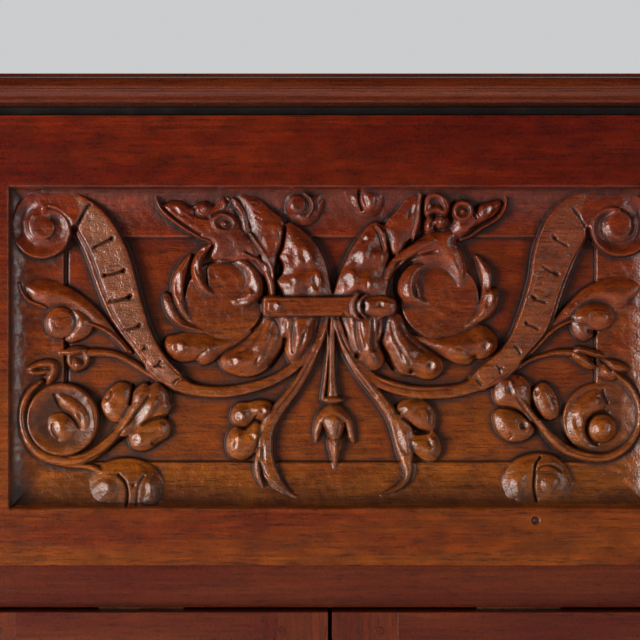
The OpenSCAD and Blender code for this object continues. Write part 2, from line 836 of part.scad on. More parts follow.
module half_carving() {
    ribbon_and_volute();
    berry_and_buds();
    scroll_and_flower();
    leaf_cluster();
    beast();
    hanging_blades();
}

module carving() {
    half_carving();
    translate([2 * mirror_x * panel_w / drawn_w, 0, 0]) mirror([1, 0, 0]) half_carving();
    strap_and_bud();
}

// Doors, drawn as the left one

door_x0 = -(post_x0 - door_gap);
door_x1 = -meeting_gap / 2;
leaf_z0 = door_z0 + door_gap;
leaf_z1 = mid_z0 - door_gap;
door_y1 = front_y + door_t;
door_tenon_l = 26;
door_panel_x = [door_x0 + stile_w, door_x1 - stile_w];
door_panel_z = [leaf_z0 + door_bottom_rail_h, leaf_z1 - door_top_rail_h];
door_mid = [(door_panel_x[0] + door_panel_x[1]) / 2, (door_panel_z[0] + door_panel_z[1]) / 2];
door_panel_back = 14;    // from the door's face to the face of its panel's plate
door_panel_y = front_y + door_panel_back;
door_tenon_y = door_panel_y + tongue_t / 2;

function door_rail_levels() = [[leaf_z0, leaf_z0 + door_bottom_rail_h], [leaf_z1 - door_top_rail_h, leaf_z1]];

module door_tenons() {
    for (z = door_rail_levels())
        span([door_panel_x[0] - door_tenon_l, door_panel_x[1] + door_tenon_l],
            [door_tenon_y - tenon_t / 2, door_tenon_y + tenon_t / 2],
            [z[0] + tenon_shoulder, z[1] - tenon_shoulder]);
}

module door_groove() {
    span([door_panel_x[0] - groove, door_panel_x[1] + groove], [door_panel_y, door_panel_y + tongue_t],
        [door_panel_z[0] - groove, door_panel_z[1] + groove]);
}

module door_pegs() {
    for (z = door_rail_levels())
        for (x = [door_panel_x[0] - door_tenon_l / 2, door_panel_x[1] + door_tenon_l / 2])
            for (dz = [-12, 12])
                translate([x, front_y - peg_proud, (z[0] + z[1]) / 2 + dz])
                    rotate([-90, 0, 0]) peg(door_t - 2);
}

module door_stile(x) {
    difference() {
        span(x, [front_y, door_y1], [leaf_z0, leaf_z1]);
        door_tenons();
        door_groove();
        door_pegs();
    }
}

module hinge_stile() {
    color(WOOD) difference() {
        door_stile([door_x0, door_x0 + stile_w]);
        hinge_places() door_leaf_seat();
        hinge_places() door_leaf_screws();
    }
}

module door_rails() {
    color(WOOD) difference() {
        union() {
            for (z = door_rail_levels())
                span(door_panel_x, [front_y, door_y1], z);
            door_tenons();
        }
        door_groove();
        door_pegs();
    }
}

module door_panel() {
    w = door_panel_x[1] - door_panel_x[0];
    h = door_panel_z[1] - door_panel_z[0];
    color(WOOD) translate([door_mid[0], door_panel_y, door_mid[1]])
        fielded_panel(w + 2 * tongue, h + 2 * tongue, tongue_t, tongue + door_moulding_w + 4, 9, 5);
}

// Four mitred lengths of cove between the door frame and its panel
module door_moulding() {
    w = door_panel_x[1] - door_panel_x[0];
    h = door_panel_z[1] - door_panel_z[0];
    t = door_panel_y - front_y - 1;
    color(WOOD) translate([door_mid[0], front_y + 1, door_mid[1]])
        difference() {
            span([-w / 2, w / 2], [0, t], [-h / 2, h / 2]);
            coved_void(w - 5, h - 5, door_moulding_w - 4, t - 2);
            span([door_moulding_w - w / 2, w / 2 - door_moulding_w], [-1, t + 1],
                [door_moulding_w - h / 2, h / 2 - door_moulding_w]);
            frame_mitres(w, h, t);
        }
}

// Hairline gaps where the four lengths of a moulding meet
module frame_mitres(w, h, t) {
    gap = 0.1;
    reach = door_moulding_w * 2;
    for (sx = [-1, 1])
        for (sz = [-1, 1])
            translate([sx * w / 2, t / 2, sz * h / 2]) rotate([0, -sx * sz * 45, 0])
                cube([2 * reach, t + 2, gap], center = true);
}

// Hinges, drawn at the left door

hinge_x = -(post_x0 - door_gap / 2);
hinge_y = front_y - knuckle_r - 0.2;
leaf_t = 1.4;
leaf_gap = 0.1;
knuckles = 5;
knuckle_gap = 0.2;
knuckle_pitch = leaf_h / knuckles;

module hinge_places() {
    for (z = [leaf_z0 + hinge_inset, leaf_z1 - hinge_inset - leaf_h])
        translate([hinge_x, 0, z]) children();
}

// One leaf and its knuckles; first is 0 for the frame's leaf and 1 for the door's
module hinge_leaf(first) {
    side = first == 0 ? -1 : 1;
    x = [side * leaf_gap, side * (leaf_gap + leaf_t)];
    difference() {
        union() {
            span(x, [front_y, front_y + leaf_w], [0, leaf_h]);
            for (i = [first:2:knuckles - 1])
                translate([0, 0, i * knuckle_pitch + knuckle_gap / 2]) {
                    span(x, [hinge_y, front_y + 1], [0, knuckle_pitch - knuckle_gap]);
                    translate([0, hinge_y, 0]) cylinder(r = knuckle_r, h = knuckle_pitch - knuckle_gap);
                }
        }
        translate([0, hinge_y, -1]) cylinder(r = pin_r + run_gap, h = leaf_h + 2);
        leaf_screws(side);
    }
}

function screw_shape(l, r, head_r) = [[0, 0], [head_r, 0], [r, head_r - r], [r, l - 1.5], [0, l]];

module screw(l, r = 1.3, head_r = 2.5) {
    rotate_extrude($fn = 24) polygon(screw_shape(l, r, head_r));
}

module leaf_screws(side) {
    for (i = [0.17, 0.5, 0.83])
        translate([side * leaf_gap, front_y + (i == 0.5 ? leaf_w * 0.7 : leaf_w * 0.45), leaf_h * i])
            rotate([0, side * 90, 0]) screw(15);
}

module frame_leaf_screws() {
    leaf_screws(-1);
}

module door_leaf_screws() {
    leaf_screws(1);
}

module frame_leaf_seat() {
    span([-leaf_gap, -leaf_gap - leaf_t], [front_y - 1, front_y + leaf_w], [0, leaf_h]);
}

module door_leaf_seat() {
    span([leaf_gap, leaf_gap + leaf_t], [front_y - 1, front_y + leaf_w], [0, leaf_h]);
}

// A pin with a turned finial at each end
module hinge_pin() {
    cap_h = 5;
    cap_r = knuckle_r - 0.4;
    cap = [[pin_r, 0.1], [cap_r, 0.1], [cap_r, 0.4], [cap_r - 0.2, cap_h - 2], [cap_r - 1, cap_h - 0.6],
        [0, cap_h]];
    translate([0, hinge_y, 0]) rotate_extrude($fn = 32)
        polygon(concat([for (i = [5:-1:0]) [cap[i][0], -cap[i][1]]], [for (p = cap) [p[0], leaf_h + p[1]]]));
}

// Lock, on the inside of the right door's meeting stile

lock_z = (leaf_z0 + leaf_z1) / 2;
lock_x = [5, 43];
lock_h = 60;
lock_d = 12;
lock_wall = 1.5;
key_x = 26;
key_z = lock_z - 8;
key_r = 2.4;
key_gap = 0.08;         // round the key's shank where the lock's plate guides it
key_slack = 0.4;        // round it in the door and its escutcheon
bit_l = 9;
bit_w = 2;
bolt_h = 10;
bolt_t = 5;
bolt_gap = 0.3;         // round a bolt where it slides
bolt_z = lock_z + 4;
bolt_y = door_y1 + 3;
bolt_rest_x = lock_x[0] - 0.5;

module keyhole(y0, y1, gap = key_slack) {
    translate([key_x, y0, key_z]) rotate([-90, 0, 0]) cylinder(r = key_r + gap, h = y1 - y0, $fn = 32);
    span([key_x - bit_w / 2 - 0.5, key_x + bit_w / 2 + 0.5], [y0, y1], [key_z - bit_l - 0.8, key_z]);
}

module lock_box() {
    span(lock_x, [door_y1, door_y1 + lock_d], [lock_z - lock_h / 2, lock_z + lock_h / 2]);
}

module lock_case() {
    color(IRON) difference() {
        lock_box();
        span([lock_x[0] + 2, lock_x[1] - lock_wall], [door_y1 + lock_wall, door_y1 + lock_d - lock_wall],
            [lock_z - lock_h / 2 + 9, lock_z + lock_h / 2 - 9]);
        span([lock_x[0] - 1, lock_x[0] + 3], [bolt_y - bolt_gap, bolt_y + bolt_t + bolt_gap],
            [bolt_z - bolt_gap, bolt_z + bolt_h + bolt_gap]);
        keyhole(door_y1 - 1, door_y1 + 3, key_gap);
        lock_screws();
    }
}

module lock_screws() {
    for (x = [lock_x[0] + 6, lock_x[1] - 6])
        for (z = [lock_z - lock_h / 2 + 4.5, lock_z + lock_h / 2 - 4.5])
            translate([x, door_y1 + lock_d, z]) rotate([90, 0, 0]) screw(26);
}

module lock_bolt() {
    x = [bolt_rest_x, lock_x[1] - lock_wall - 1];
    color(BRASS) span(x, [bolt_y, bolt_y + bolt_t], [bolt_z, bolt_z + bolt_h]);
}

// The bent plate behind the left door that the lock bolt shoots into
module lock_keep() {
    y1 = bolt_y + bolt_t + 2.5;
    z = [bolt_z - 3, bolt_z + bolt_h + 3];
    x = [door_x1 - bolt_throw - 5, door_x1 - 0.5];
    color(IRON) difference() {
        union() {
            span(x, [door_y1, y1], z);
            span(x, [door_y1, door_y1 + 1.5], [z[0] - 11, z[1] + 11]);
        }
        span([x[0] + 2, x[1] + 1], [bolt_y - 0.5, bolt_y + bolt_t + 0.5],
            [bolt_z - 0.5, bolt_z + bolt_h + 0.5]);
        keep_screws();
    }
}

module keep_screws() {
    for (z = [bolt_z - 9, bolt_z + bolt_h + 9])
        translate([door_x1 - 9, door_y1 + 1.5, z]) rotate([90, 0, 0]) screw(14, 1.2, 2.2);
}

module escutcheon() {
    t = 1.6;
    color(BRASS) difference() {
        translate([0, front_y, 0]) rotate([90, 0, 0]) linear_extrude(t) union() {
            for (p = [[0, 8, 9.5], [0, -12, 9], [0, 20, 4.5], [0, -25, 4.5]])
                translate([key_x + p[0], key_z + p[1]]) circle(r = p[2], $fn = 48);
            translate([key_x - 7, key_z - 12]) square([14, 22]);
        }
        keyhole(front_y - t - 1, front_y + 1);
        for (z = [20, -25])
            translate([key_x, front_y - t - 1, key_z + z])
                rotate([-90, 0, 0]) cylinder(r = 1, h = t + 2, $fn = 20);
    }
}

module key() {
    bow_r = 10.5;
    bow_y = front_y - 17.2;
    key_end = door_y1 + lock_d - 3.5;
    color(IRON) union() {
        translate([key_x, front_y - 8, key_z]) rotate([-90, 0, 0])
            cylinder(r = key_r, h = key_end - front_y + 8, $fn = 32);
        translate([key_x, front_y - 5.5, key_z]) rotate([-90, 0, 0])
            cylinder(r = key_r + 1.3, h = 2.2, $fn = 32);
        span([key_x - bit_w / 2, key_x + bit_w / 2], [key_end - 6.5, key_end - 0.5], [key_z - bit_l, key_z]);
        difference() {
            translate([key_x - 1.5, bow_y, key_z]) rotate([0, 90, 0]) {
                cylinder(r = bow_r, h = 3, $fn = 48);
                for (s = [-1, 1])
                    translate([s * 6.5, 2, 0]) cylinder(r = 7, h = 3, $fn = 40);
            }
            for (s = [-1, 1])
                translate([key_x - 3, bow_y, key_z + s * 6])
                    rotate([0, 90, 0]) cylinder(r = 1.9, h = 6, $fn = 24);
        }
    }
}

// Both doors' meeting stiles

module meeting_stile() {
    door_stile([door_x1 - stile_w, door_x1]);
}

module left_rails() {
    difference() {
        door_rails();
        plate_screws();
    }
}

module left_meeting_stile() {
    color(WOOD) difference() {
        meeting_stile();
        keep_screws();
        plate_screws();
    }
}

module right_meeting_stile() {
    color(WOOD) difference() {
        right() meeting_stile();
        keyhole(front_y - 1, door_y1 + 1);
        lock_screws();
        escutcheon_pins();
    }
}

module escutcheon_pins() {
    for (z = [20, -25])
        translate([key_x, front_y - 2.2, key_z + z]) rotate([-90, 0, 0]) cylinder(r = 1, h = 10, $fn = 20);
}

// Upright bolt behind the left door

bar_x = door_x1 - 24;
bar_w = 7;
bar_t = 5;
bar_l = 70;
bar_y = door_y1 + bolt_gap + 1.6;
bar_z1 = leaf_z1 - 0.5;
plate_w = 24;
plate_h = 56;
plate_t = 1.6;
plate_z = bar_z1 - 10 - plate_h;

module bolt_socket() {
    span([bar_x - bar_w / 2 - 0.6, bar_x + bar_w / 2 + 0.6], [bar_y - 0.6, bar_y + bar_t + 0.6],
        [mid_z0 - 1, mid_z0 + door_bolt_throw + 3]);
}

module bolt_plate() {
    wall = 2.2;
    color(IRON) difference() {
        union() {
            span([bar_x - plate_w / 2, bar_x + plate_w / 2], [door_y1, door_y1 + plate_t],
                [plate_z, plate_z + plate_h]);
            for (z = [plate_z + 2, plate_z + plate_h - 12])
                span([bar_x - bar_w / 2 - wall - bolt_gap, bar_x + bar_w / 2 + wall + bolt_gap],
                    [door_y1, bar_y + bar_t + bolt_gap + wall], [z, z + 10]);
        }
        span([bar_x - bar_w / 2 - bolt_gap, bar_x + bar_w / 2 + bolt_gap],
            [bar_y - bolt_gap, bar_y + bar_t + bolt_gap], [plate_z - 1, plate_z + plate_h + 1]);
        plate_screws();
    }
}

module plate_screws() {
    for (x = [-8.5, 8.5])
        for (z = [18, plate_h - 18])
            translate([bar_x + x, door_y1 + plate_t, plate_z + z]) rotate([90, 0, 0]) screw(14, 1.2, 2.2);
}

module bolt_bar() {
    color(IRON) {
        span([bar_x - bar_w / 2, bar_x + bar_w / 2], [bar_y, bar_y + bar_t], [bar_z1 - bar_l, bar_z1]);
        translate([bar_x, bar_y + bar_t - 1, plate_z + plate_h / 2 - 6]) rotate([-90, 0, 0])
            cylinder(r = 3.2, h = 11, $fn = 32);
    }
}

// Node by node

top_board();
ebonised_fillet();
top_rail();
front_left_post();
right() front_left_post();  // front_right_post
rear_left_post();
right() rear_left_post();  // rear_right_post
plinth_rail();
mid_rail();
left_side_rails();
right() left_side_rails();  // right_side_rails
left_side_panels();
right() left_side_panels();  // right_side_panels
back_rails();
back_boards();
bottom_board();
bottom_cleats();
dust_panel();
left_drawer_runner();
right() left_drawer_runner();  // right_drawer_runner
drawer_kickers();
drawer_stops();
shelf();
shelf_bearers();
door_stops();
base_moulding();
feet(front_y + foot_r);  // front_feet
feet(back_y - foot_r);  // rear_feet
color(WOOD) both_sides() left_frame_pegs();  // frame_pegs
color(BRASS) both_sides() hinge_places() hinge_leaf(0);  // frame_hinge_leaves
color(BRASS) both_sides() hinge_places() hinge_pin();  // hinge_pins
frame_hinge_screws();
drawer_front();
drawer_left_side();
right() drawer_left_side();  // drawer_right_side
drawer_back();
drawer_bottom();
hinge_stile();  // left_door_hinge_stile
left_meeting_stile();  // left_door_meeting_stile
left_rails();  // left_door_rails
door_panel();  // left_door_panel
door_moulding();  // left_door_moulding
color(BRASS) hinge_places() hinge_leaf(1);  // left_door_hinge_leaves
left_door_screws();
color(WOOD) door_pegs();  // left_door_pegs
bolt_plate();
lock_keep();
bolt_bar();
right() hinge_stile();  // right_door_hinge_stile
right_meeting_stile();  // right_door_meeting_stile
right() door_rails();  // right_door_rails
right() door_panel();  // right_door_panel
right() door_moulding();  // right_door_moulding
color(BRASS) right() hinge_places() hinge_leaf(1);  // right_door_hinge_leaves
right_door_screws();
color(WOOD) right() door_pegs();  // right_door_pegs
lock_case();
escutcheon();
lock_bolt();
key();  // door_key
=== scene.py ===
"""A small joined cupboard, dressed: a carved drawer front over two panelled doors, in varnished wood.

The frame gives the joined pieces. This script carves the drawer's sunk panel as a height map, rounds the
arrises of the joined pieces and gives every piece its finish.
"""
import logging
import math
from dataclasses import dataclass
from enum import Enum

import bmesh
import bpy
import numpy as np
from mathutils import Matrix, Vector

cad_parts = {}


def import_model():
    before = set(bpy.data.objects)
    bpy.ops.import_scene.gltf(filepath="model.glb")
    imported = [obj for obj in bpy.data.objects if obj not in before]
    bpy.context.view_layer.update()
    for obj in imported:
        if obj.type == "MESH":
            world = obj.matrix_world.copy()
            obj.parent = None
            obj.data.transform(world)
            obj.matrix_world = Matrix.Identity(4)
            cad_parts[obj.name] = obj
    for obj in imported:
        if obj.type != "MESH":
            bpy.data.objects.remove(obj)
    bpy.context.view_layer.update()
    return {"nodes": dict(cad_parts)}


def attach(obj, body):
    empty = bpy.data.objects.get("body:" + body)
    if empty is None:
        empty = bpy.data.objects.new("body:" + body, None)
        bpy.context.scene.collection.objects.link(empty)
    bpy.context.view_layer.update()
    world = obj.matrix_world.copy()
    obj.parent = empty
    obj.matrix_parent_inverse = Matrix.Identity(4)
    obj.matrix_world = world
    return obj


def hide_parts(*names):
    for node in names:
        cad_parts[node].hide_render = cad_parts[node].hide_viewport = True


Array = np.ndarray
Point = tuple[float, float, float]
Box = tuple[float, float, float, float]
log = logging.getLogger("cupboard")
# One millimetre in metres
MM = 0.001
# Points nearer to each other than this, in metres, are one
SAME_PLACE = 1e-6
# Stands for nothing where a sum divides by it
TINY = 1e-9


# Curves and height maps

def smooth_line(points: Array, closed: bool, steps: int = 5) -> Array:
    """Carries a smooth curve through chosen points.

    Each span is the cubic that leaves and reaches its ends along the line between their neighbours.

    Args:
        points: one row a point, of any width.
        closed: whether the last point leads back to the first.
        steps: points on the curve from one given point to the next.

    Returns:
        The curve's points, one row each.
    """
    if closed:
        around = [np.roll(points, shift, axis=0) for shift in (1, 0, -1, -2)]
    else:
        ends = np.vstack([2 * points[0] - points[1], points, 2 * points[-1] - points[-2]])
        around = [ends[i:len(ends) - 3 + i] for i in range(4)]
    a, b, c, d = (rows[:, None, :] for rows in around)
    t = (np.arange(steps) / steps)[None, :, None]
    curve = 0.5 * (2 * b + (c - a) * t + (2 * a - 5 * b + 4 * c - d) * t ** 2
                   + (3 * b - 3 * c + d - a) * t ** 3)
    curve = curve.reshape(-1, points.shape[1])
    return curve if closed else np.vstack([curve, points[-1]])


def to_segment(px: Array, pz: Array, a: Array, b: Array) -> tuple[Array, Array]:
    """Finds how far grid points lie from a segment.

    The nearest place on it is where a square line from the point meets it, held between its ends.

    Args:
        px: x of the grid points.
        pz: z of the grid points.
        a: the segment's start, whose first two numbers are x and z.
        b: its end.

    Returns:
        The distances, and how far along the segment the nearest places lie, from 0 to 1.
    """
    run = b[:2] - a[:2]
    share = np.clip(((px - a[0]) * run[0] + (pz - a[1]) * run[1]) / max(run @ run, TINY), 0, 1)
    return np.hypot(px - a[0] - share * run[0], pz - a[1] - share * run[1]), share


def depth_inside(px: Array, pz: Array, loop: Array) -> Array:
    """Finds how far inside a closed loop grid points lie.

    The depth is the distance to the nearest side. A point is inside where a line from it to the right
    crosses an odd number of sides.

    Args:
        px: x of the grid points.
        pz: z of the grid points.
        loop: the loop's corners, one a row.

    Returns:
        The depths in millimetres, below zero outside the loop.
    """
    nearest = np.full(px.shape, np.inf)
    inside = np.zeros(px.shape, bool)
    for a, b in zip(loop, np.roll(loop, -1, axis=0)):
        nearest = np.minimum(nearest, to_segment(px, pz, a, b)[0])
        rise = b[1] - a[1] if b[1] != a[1] else TINY
        inside ^= ((a[1] > pz) != (b[1] > pz)) & (px < (b[0] - a[0]) * (pz - a[1]) / rise + a[0])
    return np.where(inside, nearest, -nearest)


def blurred(values: Array, sigma: float) -> Array:
    """Averages a height map by a bell curve, which is a product of their waves.

    Args:
        values: the height map.
        sigma: the bell curve's spread, in cells.

    Returns:
        The smoother height map.
    """
    fz = np.fft.fftfreq(values.shape[0])[:, None]
    fx = np.fft.rfftfreq(values.shape[1])[None, :]
    keep = np.exp(-2 * (math.pi * sigma) ** 2 * (fz ** 2 + fx ** 2))
    return np.fft.irfft2(np.fft.rfft2(values) * keep, s=values.shape)


def uneven(shape: tuple[int, int], sigma: float, seed: int) -> Array:
    """Makes lumps about 3.5 sigma cells across: noise blurred by sigma, less noise blurred by twice that.

    Args:
        shape: rows and columns of the map.
        sigma: the smaller blur, in cells.
        seed: the number that the noise starts from.

    Returns:
        A height map with mean zero and spread one.
    """
    noise = np.random.default_rng(seed).standard_normal(shape)
    lumps = blurred(noise, sigma) - blurred(noise, 2 * sigma)
    return lumps / lumps.std()


def eased(values: Array) -> Array:
    """Runs smoothly from 0 to 1 as the value does, flat beyond."""
    t = np.clip(values, 0, 1)
    return t * t * (3 - 2 * t)


def standing(height: Array, low: float) -> Array:
    """Tells forms from the ground: 0 up to a height of 3 mm times low, and 1 from 3 mm above that."""
    return eased(height / 3 - low)


@dataclass
class Relief:
    """Height of the carved board over the carver's ground, in millimetres.

    x runs to the right and z up, from the middle of the sunk panel.
    """
    x: Array
    z: Array
    height: Array
    stippled: Array
    # How dark the finish is painted: in bowls and hollow bands for patina and painted shade, on the plug
    # for its own colour
    dark: Array
    wall: float = 0.9

    def window(self, points: Array, margin: float) -> tuple[slice, slice, Array, Array]:
        """Finds the part of the grid that holds some points.

        Args:
            points: x and z of each, one point a row.
            margin: how far the part reaches beyond them.

        Returns:
            Its rows and columns, and the grid's x and z there.
        """
        low = points[:, :2].min(0) - margin
        high = points[:, :2].max(0) + margin
        cols = slice(*np.searchsorted(self.x, (low[0], high[0])))
        rows = slice(*np.searchsorted(self.z, (low[1], high[1])))
        px, pz = np.meshgrid(self.x[cols], self.z[rows])
        return rows, cols, px, pz

    def raise_to(self, rows: slice, cols: slice, height: Array, inside: Array) -> None:
        """Lifts the ground to a form's height where it lies lower, over a short wall at the form's edge.

        Args:
            rows: the rows of the grid round the form.
            cols: the columns round it.
            height: the form's height there.
            inside: how far inside the form each point lies.
        """
        share = np.clip(inside / self.wall + 0.5, 0, 1)
        here = self.height[rows, cols]
        self.height[rows, cols] = here + np.maximum(height - here, 0) * share


@dataclass(frozen=True)
class Form:
    """A carved form inside a smooth closed outline.

    It stands at a share of its top's height along the outline and rounds over to the top within its
    shoulder. Its fullness is 0 for a straight slope and 1 for a round one. A dish hollows it inside its
    rim, and a tooled form is stippled there.
    """
    outline: tuple[float, ...]
    top: float
    shoulder: float = 5.0
    edge: float = 0.45
    dish: float = 0.0
    rim: float = 1.6
    lean: tuple[float, float] = (0.0, 0.0)
    tooled: float = 0.0
    fullness: float = 0.6

    def loop(self) -> Array:
        """The smooth outline, one point a row."""
        return smooth_line(np.reshape(self.outline, (-1, 2)).astype(float), True)

    def carve(self, relief: Relief) -> None:
        """Sets the form on the relief.

        Out falls from 1 at the outline to 0 at the shoulder's end. The swell is 1 less out, times 1 plus
        the fullness times out, and carries the height from the edge's share of the top to all of it. A blur
        of 0.5 mm and 0.12 of the shoulder softens it, and the dish goes down over 1.2 times its depth.

        Args:
            relief: the relief, which this changes.
        """
        loop = self.loop()
        rows, cols, px, pz = relief.window(loop, 1.0)
        inside = depth_inside(px, pz, loop)
        out = 1 - np.clip(inside / self.shoulder, 0, 1)
        middle = loop.mean(0)
        top = self.top + self.lean[0] * (px - middle[0]) + self.lean[1] * (pz - middle[1])
        swell = (1 - out) * (1 + self.fullness * out)
        height = top * (self.edge + (1 - self.edge) * swell)
        sigma = (0.5 + 0.12 * self.shoulder) / (relief.x[1] - relief.x[0])
        pad = 8
        height = blurred(np.pad(height, pad, "edge"), sigma)[pad:-pad, pad:-pad]
        height -= self.dish * eased((inside - self.rim) / max(1.2 * self.dish, 1.0))
        here = relief.stippled[rows, cols]
        covers = (inside > 0) & (height >= relief.height[rows, cols])
        relief.stippled[rows, cols] = np.where(covers, self.tooled * eased((inside - self.rim) / 1.5), here)
        relief.dark[rows, cols] *= ~covers
        relief.raise_to(rows, cols, height, inside)


@dataclass(frozen=True)
class Disc(Form):
    """A round form: its outline is the middle's x and z and the radius."""
    fullness: float = 1.0

    def loop(self) -> Array:
        """A circle.

        Returns:
            Its points, one a row.
        """
        x, z, radius = self.outline
        turn = np.linspace(0, 2 * math.pi, 48, endpoint=False)
        return np.column_stack([x + radius * np.cos(turn), z + radius * np.sin(turn)])


@dataclass(frozen=True)
class Volute:
    """A ribbon's end rolled up on itself: a band hollowed between the turns of its edge, round a flat core.

    The edge is given by degrees from the middle and its distance there, in turn, and starts level with the
    ribbon at its first angle. The way is 1 where it rolls up anticlockwise, and -1 clockwise.
    """
    middle: tuple[float, float]
    edge: tuple[float, ...]
    start_top: float
    top: float
    hollow: float = 2.8
    way: int = 1

    def carve(self, relief: Relief) -> None:
        """Sets the roll on the relief: across the band the depth is a sine, deepest towards the core.

        The hollow comes in over the first 60 degrees and goes out over the last. The band's outer arris is
        rounded over 1.4 mm, and a seam 0.6 mm to each side parts the turns.

        Args:
            relief: the relief, which this changes.
        """
        x, z = self.middle
        angles = self.edge[0::2]
        reach = self.edge[1::2]
        rows, cols, px, pz = relief.window(np.array([[x, z]]), max(reach) + 1)
        away = np.hypot(px - x, pz - z)
        turn = (np.degrees(np.arctan2(pz - z, self.way * (px - x))) - angles[0]) % 360 + angles[0]
        outer = np.interp(turn, angles, reach)
        inner = np.interp(turn + 360, angles, reach)
        across = np.clip((outer - away) / (outer - inner), 0, 1)
        gone = turn - angles[0]
        rolled = eased(gone / 60) * eased((350 - gone) / 60)
        band = self.start_top + (self.top - self.start_top) * eased(gone / 180)
        band = band - rolled * self.hollow * (np.sin(math.pi * across ** 1.5) + 0.3 * across)
        core = self.top - 0.9 * (away / np.maximum(inner, 1)) ** 4
        arris = 0.9 * rolled * (1 - eased((outer - away) / 1.4))
        seam = 0.8 * np.clip(1 - np.abs(away - inner) / 0.6, 0, 1) * eased((angles[-1] - 360 - turn) / 25)
        height = np.where(away < inner, core, band) - arris - seam
        relief.raise_to(rows, cols, height, outer - away)
        covered = away < outer
        relief.height[rows, cols][covered] = height[covered]
        relief.stippled[rows, cols][covered] = 0
        # The hollow band is painted darker, for patina and for painted shade
        relief.dark[rows, cols][covered] = (0.3 * rolled * np.sin(math.pi * across))[covered]


@dataclass(frozen=True)
class Stem:
    """A rounded band along a smooth line, given as x, z and half width in turn."""
    line: tuple[float, ...]
    top: float
    end_top: float | None = None
    edge: float = 0.4

    def carve(self, relief: Relief) -> None:
        """Sets the band on the relief: across it the height is half an ellipse over its edge.

        Args:
            relief: the relief, which this changes.
        """
        line = smooth_line(np.reshape(self.line, (-1, 3)).astype(float), False)
        rows, cols, px, pz = relief.window(line, line[:, 2].max() + 1)
        out = np.full(px.shape, np.inf)
        inside = np.full(px.shape, -np.inf)
        along = np.zeros(px.shape)
        for i in range(len(line) - 1):
            away, share = to_segment(px, pz, line[i], line[i + 1])
            half = np.maximum(line[i, 2] + share * (line[i + 1, 2] - line[i, 2]), 0.3)
            nearer = away / half < out
            out = np.where(nearer, away / half, out)
            inside = np.where(nearer, half - away, inside)
            along = np.where(nearer, (i + share) / (len(line) - 1), along)
        end_top = self.top if self.end_top is None else self.end_top
        top = self.top + (end_top - self.top) * along
        height = top * (self.edge + (1 - self.edge) * np.sqrt(1 - np.clip(out, 0, 1) ** 2))
        covers = (inside > 0) & (height >= relief.height[rows, cols])
        relief.stippled[rows, cols] = np.where(covers, 0.0, relief.stippled[rows, cols])
        relief.raise_to(rows, cols, height, inside)


@dataclass(frozen=True)
class Cut:
    """A groove along a smooth line that fades at its ends, or a vein where its depth is below zero."""
    line: tuple[float, ...]
    depth: float = 1.0
    width: float = 0.8
    fade: float = 0.12

    def carve(self, relief: Relief) -> None:
        """Lowers the relief by a bell curve across the line.

        Args:
            relief: the relief, which this changes.
        """
        line = smooth_line(np.reshape(self.line, (-1, 2)).astype(float), False)
        rows, cols, px, pz = relief.window(line, 3 * self.width)
        near = np.full(px.shape, np.inf)
        along = np.zeros(px.shape)
        for i in range(len(line) - 1):
            away, share = to_segment(px, pz, line[i], line[i + 1])
            along = np.where(away < near, (i + share) / (len(line) - 1), along)
            near = np.minimum(near, away)
        ends = eased(np.minimum(along, 1 - along) / self.fade + 0.15)
        relief.height[rows, cols] -= self.depth * ends * np.exp(-(near / self.width) ** 2)


@dataclass(frozen=True)
class Bowl:
    """A hollow between two circles, given as x, z and both radii. It is deepest midway between them."""
    spot: tuple[float, float, float, float]
    depth: float
    dirt_and_shade: float = 0.6

    def carve(self, relief: Relief) -> None:
        """Lowers the relief by half a wave across the hollow.

        Args:
            relief: the relief, which this changes.
        """
        x, z, inner, outer = self.spot
        rows, cols, px, pz = relief.window(np.array([[x, z]]), outer + 1)
        share = np.clip((np.hypot(px - x, pz - z) - inner) / (outer - inner), 0, 1)
        hollow = np.sin(math.pi * share)
        relief.height[rows, cols] -= self.depth * hollow
        # The hollow is painted darker, for dirt and for painted shade
        relief.dark[rows, cols] = np.maximum(relief.dark[rows, cols],
                                              self.dirt_and_shade * np.clip(2 * hollow, 0, 1))


@dataclass(frozen=True)
class Swell:
    """A soft rise, or a hollow where its height is below zero, given as x, z, radius and height in turn."""
    spots: tuple[float, ...]

    def carve(self, relief: Relief) -> None:
        """Adds a bell curve round each spot, on carved forms alone.

        Args:
            relief: the relief, which this changes.
        """
        for x, z, radius, height in np.reshape(self.spots, (-1, 4)):
            rows, cols, px, pz = relief.window(np.array([[x, z]]), 2.5 * radius)
            bell = np.exp(-((px - x) ** 2 + (pz - z) ** 2) / radius ** 2)
            here = relief.height[rows, cols]
            relief.height[rows, cols] = here + height * bell * standing(here, 0.5)


@dataclass(frozen=True)
class Facet:
    """Flat oval cuts by a broad gouge, given as x, z, half length, half width and turn in degrees, in turn.

    Each keeps the height it finds at its middle and rises by its tilt, in millimetres a millimetre.
    """
    spots: tuple[float, ...]
    tilt: tuple[float, float]

    def carve(self, relief: Relief) -> None:
        """Brings the relief onto each plane.

        The plane's share is all from the middle to 0.3 of the oval's size, and eases to none at 1.15 of it.

        Args:
            relief: the relief, which this changes.
        """
        for x, z, half_long, half_wide, turn in np.reshape(self.spots, (-1, 5)):
            rows, cols, px, pz = relief.window(np.array([[x, z]]), 1.2 * half_long + 1)
            angle = math.radians(turn)
            along = ((px - x) * math.cos(angle) + (pz - z) * math.sin(angle)) / half_long
            across = ((pz - z) * math.cos(angle) - (px - x) * math.sin(angle)) / half_wide
            share = eased((1.15 - np.hypot(along, across)) / 0.85)
            here = relief.height[rows, cols]
            level = (here * share).sum() / max(share.sum(), TINY)
            plane = level + self.tilt[0] * (px - x) + self.tilt[1] * (pz - z)
            relief.height[rows, cols] = here + share * (plane - here) * standing(here, 0.5)


Stroke = Form | Volute | Stem | Cut | Bowl | Swell | Facet


# The carving, in millimetres from the middle of the sunk panel, each list in the order of cutting.
# After its outline a form gives its top, shoulder, edge and dish, and after its line a stem gives its tops
# at both ends and its edge, and a cut its depth, width and fade.

